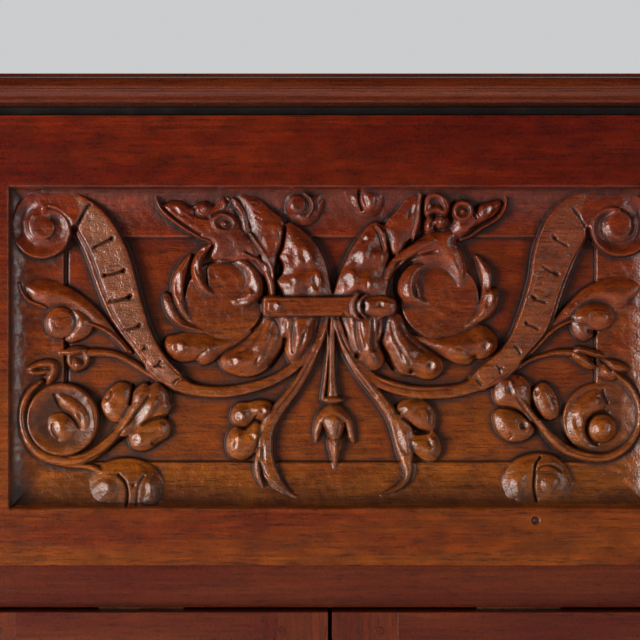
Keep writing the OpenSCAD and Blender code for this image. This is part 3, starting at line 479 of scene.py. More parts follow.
LEFT_RIBBON = (
    Stem((-124, -12, 6.5, -116, -20, 5.8, -105, -27, 4.6, -92, -30.5, 4.1, -75, -31.5, 4.1, -58, -29, 3.9,
          -42, -24, 3.6, -30, -17.5, 3.5, -18, -7, 3.5, -9, 5, 3.2, -4, 22, 2.0), 6.6, 4.2, 0.86),
    Form((-199, 110.5, -185, 110.5, -175, 107, -165, 101, -156, 92.5, -149, 82, -143, 70, -139, 58,
          -135, 42, -131, 27, -126, 12, -120, 0, -112, -11, -103, -21, -98, -26, -106, -31, -113, -29,
          -122, -22, -131, -12, -139, -1, -147, 9, -155, 21, -161, 34, -165.5, 46, -169.5, 58, -173.5, 68,
          -178, 77, -181, 85, -188, 95), 5.4, 1.0, 0.95, lean=(0.02, 0.02)),
    Form((-199, 110.5, -185, 110.5, -175, 107, -165, 101, -156, 92.5, -149, 82, -143, 70, -139, 58,
          -135, 42, -131, 27, -126, 12, -120, 0, -112, -11, -104, -20, -110, -26, -120, -19, -129, -9,
          -137, 1, -144, 11, -151, 22, -156.5, 34, -161, 46, -165, 58, -169, 68, -174, 77, -178.5, 85,
          -186, 95), 8.2, 1.0, 0.97, lean=(0.045, 0.032), tooled=1.0),
    Cut((-179.5, 82, -176, 89, -171, 98, -168, 101), 2.6, 1.1, 0.05),
    Cut((-166.5, 70, -160, 73, -153, 77), 2.4, 0.75, 0.04),
    Cut((-154, 75.5, -152.5, 78), 2.4, 1.2, 0.02),
    Cut((-159, 50.5, -152, 51.7, -144.5, 54), 2.6, 0.8, 0.04),
    Cut((-159, 49.5, -158.5, 52), 2.2, 1.0, 0.02),
    Cut((-145.5, 52.5, -144.5, 55.5), 2.6, 1.2, 0.02),
    Cut((-155, 32, -147, 33.5, -139.5, 36), 2.6, 0.8, 0.04),
    Cut((-155.3, 30.8, -154.6, 33.6), 2.2, 1.0, 0.02),
    Cut((-141.5, 33.8, -140, 37.6), 2.6, 1.3, 0.02),
    Cut((-145, 12, -140, 13, -134, 15), 2.2, 0.75, 0.04),
    Cut((-134.5, 14, -133.5, 17), 2.2, 1.1, 0.02),
    Cut((-134, -3.5, -131, -1.5, -128, 0), 2.0, 0.75, 0.04),
    Cut((-131, -1.5, -130, 2), 1.8, 0.7, 0.04),
    Cut((-124, -14, -121, -12.5, -119, -9), 2.0, 0.75, 0.04),
    Cut((-121, -12.5, -118, -13.5), 1.8, 0.7, 0.04),
    Cut((-110, -26, -108, -23, -105, -22), 2.0, 0.75, 0.04),
    Cut((-120, -24.5, -108, -31.5, -92, -34.7, -74, -35.6, -57, -33, -40, -27.5, -27, -20), 1.3, 0.7),
    Cut((-116, -8, -106, -19, -92, -26, -75, -27.6, -62, -26.5), 1.1, 0.7),
)
LEFT_VOLUTE = (
    Form((-206, 110.5, -196, 111.5, -186, 110, -178, 104, -176, 92, -182, 84, -192, 80, -204, 84), 8.9,
         1.0, 0.96),
    Volute((-202.5, 84.6), (90, 26.5, 135, 23.0, 180, 21.6, 225, 21.8, 270, 22.4, 315, 22, 360, 20.6,
                            405, 18.6, 450, 14.4, 495, 11, 540, 9.5, 630, 9.3, 720, 10, 770, 8.2), 8.9,
           10.2),
    Cut((-199, 98.6, -190.5, 96, -184.6, 90.5, -181.5, 83.5), 1.5, 0.9, 0.02),
    Cut((-197, 92.2, -193.4, 88.5, -192.2, 83.5, -194.2, 78, -199, 75), 1.3, 1.3),
)
LEFT_BERRIES = (
    Form((-219.5, 46, -213, 48, -204, 48.5, -194, 46.5, -184, 42.5, -174, 36, -165, 28, -157, 19,
          -150, 10, -144, 3, -139, -4, -144, -3, -151, 6.5, -158, 12, -167, 15.5, -172, 20, -180, 26,
          -190, 29, -197, 27, -204, 28, -211, 31.5, -216, 38), 8.4, 9, 0.3),
    Stem((-218.5, 45, 0.9, -216, 38, 1.1, -211.5, 33, 1.2, -206, 30.5, 1.2, -200, 28, 0.8), 8.2, 6.8, 0.7),
    Stem((-170, 17, 1.2, -163, 14.5, 1.5, -155, 10, 1.6, -149, 4.5, 1.5, -143, -2, 1.2), 6.4, 5.2, 0.6),
    Disc((-189.5, 17.5, 11.2), 7.4, 5, 0.55),
    Form((-184, 27, -177, 27.5, -170, 24, -166.5, 18, -168, 11, -174, 6, -181, 3.5, -187, 5, -183, 12,
          -181, 20), 8.8, 9, 0.35),
    Cut((-197, 12, -192, 9, -187, 6, -183, 4), -0.5, 0.7),
    Cut((-187, 4, -185, 1, -186, -2), 2.0, 1.2),
)
LEFT_BUDS = (
    Form((-172, -1.5, -161, -1, -150, -3, -140, -8, -129, -15, -117, -23.5, -121, -25.5, -133, -18,
          -143, -11.5, -153, -7.5, -163, -6.5, -172, -7), 4.8, 2.4, 0.4),
    Disc((-177.5, -8, 8.6), 6.2, 3, 0.4, 2.4, 1.6),
    Form((-191, -4, -185, -0.5, -176, 1, -170.5, -2, -175, -5, -183, -6.5), 7.6, 2.8, 0.35),
    Form((-182, -8, -178, -7, -174, -10, -173.5, -14.5, -178, -17.2, -182, -15), 8.2, 4, 0.35),
    Form((-214, -15, -206, -10, -197, -8.6, -192, -11, -196, -14.5, -205, -15, -211, -17.5), 9.2, 2.8,
         0.5),
    Form((-213, -17, -205, -16, -198, -15, -196, -17, -201, -19.5, -209, -19.5), 8.6, 1.8, 0.6),
    Form((-196, -11, -191.5, -12, -191, -18, -194.5, -24, -199.5, -26, -200, -20, -198, -16), 9.4, 3, 0.5),
)
LEFT_SCROLL = (
    Disc((-188.5, -51, 26.0), 7.6, 2.5, 0.55),
    Bowl((-188.5, -51, -25.0, 25.0), 6.0, 0.85),
    Stem((-203, -24, 1.6, -211, -31, 2.3, -216, -41, 2.6, -216.8, -53, 2.8, -213, -65, 3.0,
          -204, -75, 3.4, -192, -79.5, 3.6, -179, -79.5, 3.8, -167, -75.5, 3.8, -157, -67.5, 3.4,
          -148, -58.5, 2.8, -141, -50, 1.8), 9.4, 7.4, 0.55),
    Cut((-190, -77, -178, -77.8, -168, -74, -158, -66, -150, -57.5), 1.0, 0.6),
    Cut((-172, -80.5, -160, -74.5, -150, -66.5, -142, -61.5), 2.0, 0.8),
    Form((-197, -29, -187, -29.5, -175, -36, -167.5, -45, -166.5, -54, -170, -60, -175.5, -60,
          -178, -54.5, -183, -48, -190, -43, -193.5, -37), 7.6, 7, 0.35, lean=(0.0, -0.02)),
    Cut((-195, -32, -192.5, -38, -190, -42.5, -184, -46.5, -179, -52, -176, -57.5), 1.8, 0.8, 0.05),
    Form((-198, -50, -193, -46.5, -186.5, -47, -181, -51.5, -178.5, -58, -181, -65, -187, -68.5,
          -193.5, -66, -198, -58.5), 8.0, 9, 0.35),
    Cut((-195.5, -53, -195, -59, -190.5, -65), 1.6, 0.9),
    Cut((-172, -37, -168, -43, -166, -49), -0.7, 0.8),
)
LEFT_LEAF = (
    Form((-161.5, -41, -158.5, -33, -151, -25.5, -145, -24.5, -140, -27.5, -139, -35, -140.5, -43,
          -146, -51.5, -152, -53, -158, -49), 7.2, 6, 0.4),
    Cut((-154.5, -29.5, -154, -34, -157.5, -37.5), 1.3, 0.8),
    Form((-141, -40, -138.5, -31, -131.5, -25, -127, -26.3, -121, -24.5, -114.5, -31, -113, -38,
          -111.8, -42, -115.5, -48.5, -125, -51.5, -133, -55, -141, -62, -149, -63, -152, -59, -146, -49),
         8.4, 5, 0.5),
    Form((-142, -61, -136, -53.5, -127, -49.8, -117.5, -49.5, -112.5, -55, -113.8, -63, -121, -67.5,
          -126, -71.5, -133, -73.3, -138.5, -71.5, -141.5, -67), 8.0, 6, 0.4),
    Cut((-139, -25.5, -139.5, -33, -141, -41), 2.6, 0.9, 0.08),
    Cut((-113.5, -48.5, -120, -49.3, -127, -51.5, -133, -55), 2.0, 0.8, 0.08),
    Facet((-131.5, -47, 17, 5.5, 50, -135.5, -65, 5.5, 4, 60, -157, -43, 6, 2.5, 80), (0.46, 0.10)),
    Cut((-126.5, -33, -134, -43.5, -142, -54, -149.5, -63), 1.6, 0.8, 0.06),
    Cut((-121, -33, -118, -40), 0.6, 1.6),
    Cut((-133, -60, -126, -60, -119, -57), 0.6, 1.8),
    Cut((-128, -24.5, -127, -27), 2.0, 1.1),
    Cut((-126, -67.5, -123, -69), 2.0, 1.1),
)
LEFT_FLOWER = (
    Stem((-200, -80.5, 1.2, -185, -83, 1.8, -170, -84, 2.2, -160, -88, 2.4), 5.2, 7, 0.5),
    Form((-169, -112, -170.5, -100, -167.5, -90, -160, -82, -149, -78.3, -136, -78.6, -126, -82.5,
          -119, -90, -116.3, -100, -117.5, -112, -125, -117, -143, -117, -160, -117), 9.8, 13, 0.3,
         fullness=1.0),
    Form((-167, -101, -165, -91.5, -157, -86.5, -149, -88.5, -144, -95, -142.8, -103, -144.5, -110.5,
          -155, -113, -164, -110), 12, 12, 0.4, fullness=1.0),
    Form((-135, -111, -133.5, -98, -129, -89.5, -124, -88.5, -119.3, -95, -117.5, -104, -119, -112.5,
          -127, -113.5), 11.4, 8, 0.4, fullness=0.9),
    Cut((-149.5, -88.5, -144.2, -94.5, -142.2, -102, -143, -112), 3.0, 0.9, 0.05),
    Cut((-136, -112, -134.5, -98, -130, -89), 1.6, 0.9),
    Swell((-138.3, -97, 1.6, -2.0)),
)
LEFT_FACETS = (
    Facet((-106.5, 45, 13, 4.2, 92, -53, 43, 8, 4.5, 105, -45.5, 56, 5, 2.6, 120, -61, 31.7, 6, 2.2, 175,
           -107, 96.5, 5, 2.6, 150, -72, 104, 3, 2, 90, -63, 91, 7, 2.2, 118, -89.5, 69, 4, 2, 40,
           -93.5, 57, 8, 2.2, 95, -16.8, 64.5, 8, 5.4, 115, -9.2, 47, 7, 4.4, 100,
           -25.2, 46, 4.5, 3.2, 90, -30.5, 62, 4, 2, 100, -30, 55, 3, 2, 90, -35.2, 79, 7, 2.2, 85),
          (0.48, 0.10)),
    Facet((-105.7, 0, 5, 4.5, 0, -66.5, -9.7, 4.2, 3.6, 0, -50, -8, 5, 2.2, 60, -18, 6, 10, 2.6, 75,
           -33, 13, 9, 2.4, 80, -38, 28.8, 4.5, 3.8, 0), (0.50, 0.10)),
    Facet((-192.5, -55, 5, 2.8, 80, -160, -98.5, 7, 5, 20, -128, -99.5, 7, 2.8, 75,
           -63.5, -48.5, 4.4, 3.6, 0, -46.4, -44.5, 3.6, 3.2, 0, -65.5, -67, 7, 2.6, 80,
           -53.5, -62.3, 3.6, 3, 0, -46, -73, 9, 2.4, 88), (0.45, 0.10)),
    Facet((-177, -49, 5, 3, 120, -166.5, -48, 7, 1.6, 95), (-0.35, -0.10)),
)
LEFT_CLUSTER = (
    Stem((-1, 22, 1.2, -5, 8, 1.8, -11, -5, 2.6, -18, -18, 3.6, -25, -29.5, 3.9, -33.5, -40, 4.4,
          -41, -50, 5.2, -45, -60, 5.6, -46, -72, 6.0, -44, -83, 5.8, -39, -93, 5.0, -31, -101, 3.0,
          -22, -106, 0.9), 5.6, 7.4, 0.5),
    Stem((-49, -72, 2.5, -51, -81, 2.6, -50.5, -90, 2.2, -47, -98, 0.9), 7.6, 6.6, 0.5),
    Form((-43, -38, -49, -36.8, -57, -38.4, -64, -39, -69.2, -44, -69.5, -51.5, -65, -56, -58, -56,
          -52.5, -51, -47, -52.5, -41.5, -49, -39.5, -43), 8.0, 6.5, 0.35),
    Form((-67, -55.5, -59.5, -57.5, -52.5, -52, -46.5, -57, -47, -67, -52, -74, -60, -79.5, -69, -78,
          -73, -71, -72.5, -62), 8.2, 7.5, 0.35, lean=(0.0, 0.02)),
    Cut((-67.5, -54.5, -60, -57, -54, -51.5, -51, -47), 1.5, 0.7),
    Swell((-46, -45, 4.5, 1.5, -64, -48.5, 5, 1.3, -68, -67, 6, 1.2, -52, -63, 4, 1.2, -57, -46, 4, -1.4)),
    Cut((-5, 8, -10.5, -4, -17.5, -17, -24.5, -28.5, -33, -39, -40, -48), 1.2, 0.7),
    Cut((-8, 6, -13.5, -6, -20.5, -19, -27.5, -30.5, -35.5, -40.5), -0.5, 0.6),
    Cut((-50, -60, -51, -70, -50, -80, -45.5, -90, -38, -98, -27, -105), 1.1, 0.7),
    Cut((-41.5, -60, -42, -72, -40, -83, -35, -93), -0.5, 0.8),
)
LEFT_BLADES = (
    Form((-55, 12, -62, 4, -70, -1, -77, -5.5, -84, -11.3, -90, -12.5, -94.5, -9.5, -101, -10.3,
          -108, -9.8, -114.5, -6, -117.3, 1, -115, 7.5, -108, 9.5, -98, 11.5, -88, 10.5, -74, 6), 8.6, 9,
         0.25),
    Swell((-107.5, 0, 6, 1.6, -84, -3, 6, 0.8, -97, 6, 5, -0.8)),
    Cut((-95, -9.5, -91, -5, -85, -1), 1.0, 1.1),
    Form((-38, 24, -33, 12, -31, 5, -33.5, 0, -36.5, -5.5, -41.5, -12.5, -47.5, -18, -57.5, -21,
          -68, -19.5, -75, -16, -78, -9.5, -74.5, -4, -65, 1.5, -56, 9, -49, 17, -46, 24), 10.2, 11, 0.25),
    Swell((-67.5, -10.5, 6, 1.3, -46, -8, 5, 0.9, -55, -3, 5, -1.0)),
    Cut((-46, 20, -50, 9, -58, -1, -66, -4), 1.0, 1.3),
    Cut((-40, 18, -42, 5, -47, -5, -53, -14), 1.1, 1.4),
    Form((-40, 26, -36, 14, -32, 5, -32, -3, -28.5, -10.3, -23.5, -10.3, -18, -5, -12.5, 1.5, -9.5, 12,
          -8.5, 26), 11.4, 9, 0.3),
    Swell((-17.5, 8, 5, 1.5, -33, 14, 4, 1.2)),
    Cut((-31.3, 7, -33, 0, -37.5, -7, -43, -14), 3.4, 1.1, 0.06),
    Cut((-25.5, 22, -26, 8, -26, -5), 2.0, 1.7),
    Cut((-10.5, 20, -11.5, 8, -15.5, 0), 1.2, 1.4),
)
LEFT_BEAST = (
    Disc((-74.3, 33.5, 28.3), 3.4, 1.2, 0.85),
    Form((-97.5, 66, -104, 61, -109, 54, -111.7, 46, -111.7, 38, -109.5, 30, -104.5, 22, -97, 15.5,
          -90, 11.5, -95, 17, -100, 25, -102.5, 34, -102.7, 44, -100.5, 54), 8.6, 5, 0.3),
    Form((-116, 38.5, -112.5, 37, -109.5, 31, -106, 24, -99, 17.5, -87, 10.5, -98, 11.2, -106, 14,
          -113, 20.5, -117, 28, -118, 35), 6.8, 4, 0.45),
    Cut((-116.8, 36, -116.2, 29, -112.2, 21.7, -104.6, 16, -94, 12), -0.9, 0.8),
    Form((-34, 31, -36, 40, -38.5, 46.5, -34, 52, -33.5, 58.5, -37, 64, -34.5, 70.5, -33.3, 77, -32.5, 86,
          -27, 88, -19, 82.5, -12, 76, -7, 69, -2.5, 59, -0.5, 50, 0.8, 42, 1.2, 31), 11, 13, 0.5),
    Swell((-17, 65, 7, 2.0, -25, 46, 6, 1.7, -9.5, 48, 6, 1.5, -31, 58, 4, 1.3, -27, 76, 6, 1.3,
           -24, 37, 4, 1.0, -8.5, 38.5, 5, 1.4, -16, 41, 4, -1.3, -17, 55, 5, -1.5, -25, 66, 4, -1.2,
           -30, 51, 3, -0.8)),
    Form((-32.5, 110, -32.8, 98, -27.5, 89.5, -19, 85, -10, 88.5, -4.5, 98, -1, 110, -8, 112.5,
          -24, 112.5), 8.8, 6, 0.35),
    Disc((-22.5, 100.5, 8.8), 11.2, 5, 0.45),
    Stem((-17.5, 108, 1.0, -13.2, 103.5, 1.9, -12.2, 98, 1.9, -15, 92, 1.0), 11.8, 11.2, 0.4),
    Form((-11.5, 90, -6.5, 94, -3.6, 101, -1.4, 109, -5, 107.5, -9, 104, -11, 98), 10.2, 4, 0.4),
    Form((-67, 110, -58, 108, -50, 105, -42, 97.5, -34, 91, -31.8, 86, -33.3, 77, -34.8, 70, -37.2, 63.8,
          -38.5, 57, -41, 50, -46, 56, -49, 64, -52, 72, -55, 81, -58, 92, -62, 101), 10, 8, 0.72),
    Cut((-55, 101.5, -51.5, 100.5), 0.9, 0.6),
    Cut((-53.5, 95.5, -49, 94), 0.9, 0.6),
    Cut((-52.5, 91.5, -48, 89.5), 0.8, 0.6),
    Swell((-37, 83, 3.5, 1.4, -36.5, 78, 3, 1.0)),
    Cut((-32, 87, -32.6, 79, -33.6, 71, -36.6, 64, -33.6, 58.5, -34.6, 52, -38.8, 46.4, -34.5, 39.8,
         -33.5, 34), 3.4, 0.9, 0.05),
    Cut((-35, 84, -36, 77, -37.2, 70.5, -39.8, 64), -1.2, 1.3),
    Form((-71.5, 108, -66, 106.5, -61, 101, -57.6, 94, -56, 86, -54.5, 80, -58.5, 77.5, -62.5, 82,
          -64.5, 89, -67.5, 96, -70.5, 101), 11.8, 6, 0.4),
    Cut((-70, 106, -62.3, 99.8, -58.4, 92, -56.8, 84, -53, 77.5, -49.5, 72, -44.5, 65), -0.9, 0.8),
    Stem((-56, 80, 1.4, -52.5, 75, 2.2, -48.2, 69, 2.5, -44, 63, 2.5, -41, 56, 1.8, -40, 49, 1.2), 10.2,
         9.4, 0.4),
    Form((-121.5, 104, -117, 101, -112, 103, -104, 102.5, -98, 98.5, -93, 101.5, -87, 103, -82, 99.5,
          -78.5, 104, -73.5, 107, -69, 104, -67, 96, -63, 88, -58, 80, -53, 75, -49, 66, -53, 62,
          -60, 61.5, -70, 60, -79, 60, -84, 64, -82, 72, -88, 75, -95, 79, -103, 84.5, -111.5, 90.5,
          -118, 97), 9.4, 4, 0.72),
    Swell((-69, 63.5, 8, -2.6, -80, 63, 5, -2.0, -66, 76, 6, 0.8, -97, 93, 3, -1.6, -58, 66, 4, -1.0)),
    Form((-118.3, 104, -112, 102.3, -104.2, 101.8, -97, 98, -91, 91.5, -84.5, 86, -83, 79.5, -89, 79.5,
          -96, 83.8, -104.2, 89.2, -111.9, 95, -116.6, 99.6), 11.8, 7.5, 0.3),
    Form((-103.5, 88.5, -97, 91, -90, 89.5, -86.5, 84, -89, 79.5, -95, 81, -101, 84.5), 10.2, 6, 0.35),
    Disc((-88, 97.7, 5.4), 12.2, 5.4, 0.4),
    Form((-79, 97, -78.5, 103, -75, 107, -71, 106, -69.5, 100, -71.5, 94.5, -75.5, 92.5), 12.6, 5, 0.35),
    Form((-84, 88, -81.5, 93, -76, 95.5, -69, 93.5, -64.8, 87.5, -67.5, 81.5, -73.5, 79.5, -80.5, 81.5),
         12, 2.2, 0.7, 3.6, 1.6),
    Disc((-73.5, 86.5, 4.2), 12.6, 4.2, 0.35),
    Cut((-84, 92, -77, 95.5, -69.5, 94.5), 1.4, 0.8),
    Cut((-95.5, 99, -94.5, 94, -90.5, 91.5, -84, 91.5), 2.2, 1.0),
    Cut((-66, 98, -63.5, 90, -62.5, 83), 1.2, 0.7),
    Stem((-121.8, 105, 0.9, -120.3, 99.8, 1.7, -116, 94.3, 1.9, -108, 87.7, 1.5, -99.3, 81.8, 1.3,
          -91, 77.2, 1.2, -84, 74.5, 1.0), 10.4, 9.8, 0.4),
    Cut((-118.2, 99.5, -112.3, 93.4, -104.2, 87.7, -96.5, 82.6, -90, 79.2), 1.5, 0.6, 0.04),
    Form((-80, 76, -87, 73.3, -93.5, 67.3, -97.7, 58.5, -97.5, 49.5, -93.3, 42, -87, 36.7, -81.5, 37,
          -85, 41.5, -88.3, 47, -90, 54, -89.5, 60.5, -87, 66, -82.5, 71.5), 10, 5, 0.35),
    Cut((-86.3, 43, -87.5, 50, -87, 57, -82, 60.5, -75, 61.5, -68, 60), 1.8, 1.0),
    Form((-69, 61.8, -60, 63, -52.3, 58.7, -47.3, 50.5, -46.5, 40.5, -50.5, 32.3, -57, 29.2, -65, 29,
          -73, 33.5, -66, 35.2, -61, 39.7, -59, 47, -61, 54, -66, 58), 11, 9, 0.25),
    Stem((-60, 66, 1.8, -52, 61.5, 3.3, -46, 54.5, 3.6, -42, 47, 3.2, -40.5, 38, 2.4), 9.8, 9.2, 0.3),
    Cut((-54, 62, -48, 54.5, -45.3, 46, -46, 37, -50, 31), 3.0, 0.9, 0.06),
)
MIDDLE = (
    Stem((2, 22, 2.2, 1.5, 0, 2.2, 1.5, -20, 2.6, 2, -33, 4.0), 5.2, 6.0, 0.45),
    Stem((-2, 18, 1.0, -1.5, 0, 1.1, -3, -20, 1.4, -5, -36, 1.6), 3.6, 4.0, 0.4),
    Cut((2.2, 18, 1.8, -5, 1.6, -25), 0.9, 0.5),
    Form((-4.5, -35.5, 2, -33.5, 8.5, -35.5, 9, -38.5, 2, -40, -4.5, -38.5), 7.6, 2, 0.5),
    Form((-9.5, -67, -11.5, -58, -9, -48, -2, -40.5, 2.5, -39, 7, -40.5, 14, -48, 17, -58, 17.5, -68,
          13, -64, 11, -57, 5, -53, 0, -53, -5.5, -58), 7.4, 5, 0.3),
    Form((-1.5, -66, 0.5, -76, 3.2, -87, 7, -76, 9, -66, 4, -60), 8.2, 4.5, 0.3),
    Form((-6, -50, 2.5, -44, 10.5, -50, 9.5, -59, 4.2, -69.5, -3, -59), 9.4, 6.5, 0.4),
    Cut((-6.5, -52, -2.5, -60, 3.5, -69), 1.3, 0.8),
    Cut((11, -52, 9.5, -60, 5, -69), 1.3, 0.8),
    Cut((-4, -52, 0, -60, 3.8, -67, 7, -60, 8.5, -53), -0.6, 0.8),
    Cut((4.3, -44, 4.5, -55, 4, -66), -0.3, 0.8),
    Form((-46, 22, -47, 29, -46, 35.4, -36, 35.6, -20, 35.6, -5, 35.6, 10, 35.6, 20, 35.6, 21, 29, 20, 22,
          10, 21.9, -5, 21.9, -20, 21.9, -36, 21.9), 12.6, 1.0, 0.94),
    Form((-46, 22.2, -47.5, 29, -46, 35.6, -39, 36.8, -33, 35, -31, 29, -33, 23, -39, 21.2), 13.9, 7,
         0.72),
    Form((22, 22, 22.5, 29, 22, 35.8, 30, 36.2, 38, 36, 45, 34, 47, 29, 45, 23.5, 38, 21.4, 30, 21.3),
         12.4, 6, 0.7),
    Stem((19.5, 37.5, 1.4, 16.5, 33, 2.0, 16, 27, 2.2, 18.5, 21.5, 1.8, 21.5, 19.5, 1.0), 14.0, 14.0, 0.8),
    Stem((26, 37, 0.8, 22, 34, 1.2, 21, 29, 1.3, 22, 24, 1.2, 25, 21, 0.8), 13.4, 13.0, 0.8),
    Cut((21, 36, 18.8, 32, 18.6, 27, 20.5, 22), 1.2, 0.6),
)
RIGHT_RIBBON = (
    Stem((128, -10, 6.5, 119, -18.5, 6.0, 107, -25, 5.0, 92, -30, 4.5, 75, -32, 4.6, 60, -31.5, 4.4,
          44, -28, 4.2, 30, -22, 4.0, 19, -11, 3.6, 10, 4, 3.0, 5, 22, 2.0), 6.6, 4.4, 0.86),
    Form((190, 110.5, 175, 109.5, 163, 102.5, 153, 91, 147, 79, 143, 65, 141, 50, 138.5, 40, 134, 25,
          128, 10, 122, 0, 118, -4, 110, -11, 103, -17, 98, -25, 107, -31, 114, -27, 122, -22, 130, -16,
          138, -7, 146, 2, 154, 12, 160, 25, 164, 37, 169, 51, 175, 65, 181, 77, 184, 87, 190, 99), 5.4,
         1.0, 0.95, lean=(-0.02, 0.02)),
    Form((190, 110.5, 175, 109.5, 163, 102.5, 153, 91, 147, 79, 143, 65, 141, 50, 138.5, 40, 134, 25,
          128, 10, 122, 0, 118, -4, 110, -11, 103, -18, 110, -26.5, 118, -22, 127, -17, 135, -9, 143, 0,
          152, 11, 157.5, 25, 160.5, 35, 166, 50, 172, 64, 179, 76, 181, 85, 188, 98), 8.2, 1.0, 0.97,
         lean=(-0.035, 0.028), tooled=0.4),
    Cut((170, 99, 173, 95, 177, 90, 180, 84), 1.6, 0.9),
    Cut((157, 78, 161, 74.5, 168, 71), 1.6, 0.75),
    Cut((156, 79.5, 159, 75.5), 1.2, 1.2),
    Cut((148.5, 57.5, 154, 54, 161, 51), 1.6, 0.75),
    Cut((157, 53, 161, 50.5), 1.2, 1.4),
    Cut((142, 36, 146, 33.5, 153, 31), 1.5, 0.75),
    Cut((141, 37, 145, 33.5), 1.1, 1.3),
    Cut((137, 17.5, 142, 15, 147.5, 12.5), 1.4, 0.75),
    Cut((137, 18.5, 139, 15.5), 1.1, 1.2),
    Cut((129, 1.5, 132, -1, 134, -5), 1.4, 0.8),
    Cut((117, -12, 119, -15, 120, -19), 1.3, 0.8),
    Cut((119, -15, 122, -14), 1.1, 0.8),
    Cut((103, -22.5, 105, -24.5, 107, -27), 1.3, 0.8),
    Cut((145, 60, 142.5, 55, 145, 50), -0.35, 0.6),
    Cut((149, 41, 143, 40), 0.7, 0.7),
    Cut((150, 45.5, 144, 44), 0.7, 0.7),
    Cut((151, 50, 145.5, 48.5), 0.7, 0.7),
    Cut((151.5, 54.5, 146, 52.5), 0.6, 0.7),
    Cut((31, -21, 40, -25.5, 50, -28.3, 62, -30, 75, -29.7, 88, -26.8, 100, -21.3, 111, -14), 0.9, 0.6),
)
RIGHT_VOLUTE = (
    Form((207, 110.5, 197, 111.5, 186, 110, 178, 104, 176, 92, 182, 84, 192, 80, 206, 84), 8.9, 1.0, 0.96),
    Volute((203.9, 86.4), (90, 24.2, 135, 23.8, 180, 23.4, 225, 23, 270, 22.4, 315, 22, 360, 21,
                           405, 15.6, 450, 10.9, 495, 9.2, 540, 8.9, 630, 10.3, 720, 8.9, 760, 8.2), 8.9,
           10.4, 3.4, -1),
    Cut((204, 97, 209.5, 94.4, 212.6, 89.5, 213, 83.5, 210.8, 78.6), 1.7, 0.9, 0.02),
)
RIGHT_BERRIES = (
    Form((225, 46, 215, 49.5, 203, 50, 189, 46.5, 178, 40.5, 168, 31, 158, 20.5, 148, 8.5, 141, 0,
          136, -7, 141, -6, 149, 4, 155, 10.5, 162, 15.5, 170, 20, 178, 28, 187, 31.5, 194, 30, 200, 26.5,
          207, 26.5, 214, 30.5, 221, 37), 8.4, 9, 0.3),
    Stem((171, 19, 1.1, 163, 15.5, 1.5, 155, 10, 1.6, 149, 3.5, 1.5, 142, -4, 1.1), 6.6, 5.4, 0.6),
    Cut((200, 26, 207, 26.5, 213, 30.5), -0.8, 0.8),
    Form((170, 20, 170.5, 13, 174, 6.5, 180, 4.2, 185.5, 8, 185.5, 14, 180, 20), 7.2, 6, 0.4),
    Form((170, 20.5, 172.5, 27, 179, 31, 187, 32.5, 195, 30.5, 200, 25.5, 200.5, 19, 196.5, 14, 189, 12,
          181, 13, 174, 15), 9.2, 9.5, 0.35),
    Swell((177, 20, 5, 0.9, 195, 21, 4, 0.7, 186, 22, 4, -0.8)),
    Cut((181, 12, 185, 10.5, 189, 10), 2.0, 1.2),
)
RIGHT_BUDS = (
    Form((117, -22, 127, -17.5, 135, -10.5, 143, -6.5, 152, -4, 162, -1.5, 173, -1.5, 172, -6, 161, -5.8,
          151, -7.5, 141, -11, 130, -18.5, 120, -24.5), 4.8, 2.4, 0.4),
    Form((171, -3, 175, 0.8, 182, -0.5, 190, -3, 194, -7, 187, -7.2, 179, -5), 7.6, 2.8, 0.35),
    Form((172.5, -2.5, 170.8, -7, 175.5, -11.5, 182.5, -15.5, 188, -14, 184.5, -9.5, 179.5, -4.5), 8.2, 4,
         0.35),
    Form((193, -9, 201, -9, 208, -12, 211, -16, 206, -18.2, 198.5, -17), 9.2, 3, 0.5),
    Form((191.5, -12, 190, -18.5, 194, -22.5, 201.5, -23, 202.5, -18.5, 197, -13), 9.4, 4, 0.45),
    Cut((189, -7.5, 193, -10.5, 197, -12), 1.2, 0.9),
)
RIGHT_SCROLL = (
    Disc((190, -51, 26.0), 3.2, 1.5, 0.6),
    Bowl((190, -51, -26.0, 26.0), 1.6, 0.5),
    Stem((147, -52, 2.2, 155, -63, 3.0, 166.5, -72, 3.5, 182, -77.2, 3.2, 197, -77, 2.8, 209, -70, 2.7,
          216.5, -58, 2.6, 218, -45, 2.5, 214.5, -33, 2.3, 208, -24.5, 2.0, 199, -17, 1.4), 8.6, 9.4,
         0.55),
    Cut((153, -56, 160, -65, 170, -72.5, 182, -76.5, 196, -76.5), 0.9, 0.6),
    Form((189.5, -29.5, 179, -32.8, 170.3, -41, 166.6, -51.8, 168.8, -62.5, 175.5, -70.5, 185, -73,
          188, -70, 184, -65.5, 181.5, -60.5, 181, -54.5, 184.8, -48.8, 192.5, -44.3, 194, -38.3), 8.8,
         11, 0.25, fullness=0.9),
    Disc((192, -57, 10), 9.6, 9, 0.3),
    Cut((192.5, -29, 193.3, -35, 196.5, -40), 1.6, 0.8),
    Cut((180.6, -53.5, 185, -48.2, 191, -45.8, 198, -46.5), 2.2, 0.9),
    Cut((181, -54, 181, -60.5, 184.5, -66.5, 190, -69), 2.2, 0.9),
    Facet((175, -52.5, 8, 4.5, 100), (0.60, 0.10)),
    Facet((196.5, -56.5, 3.6, 2.6, 80, 189.5, -34, 3, 1.6, 30), (-0.30, -0.10)),
)
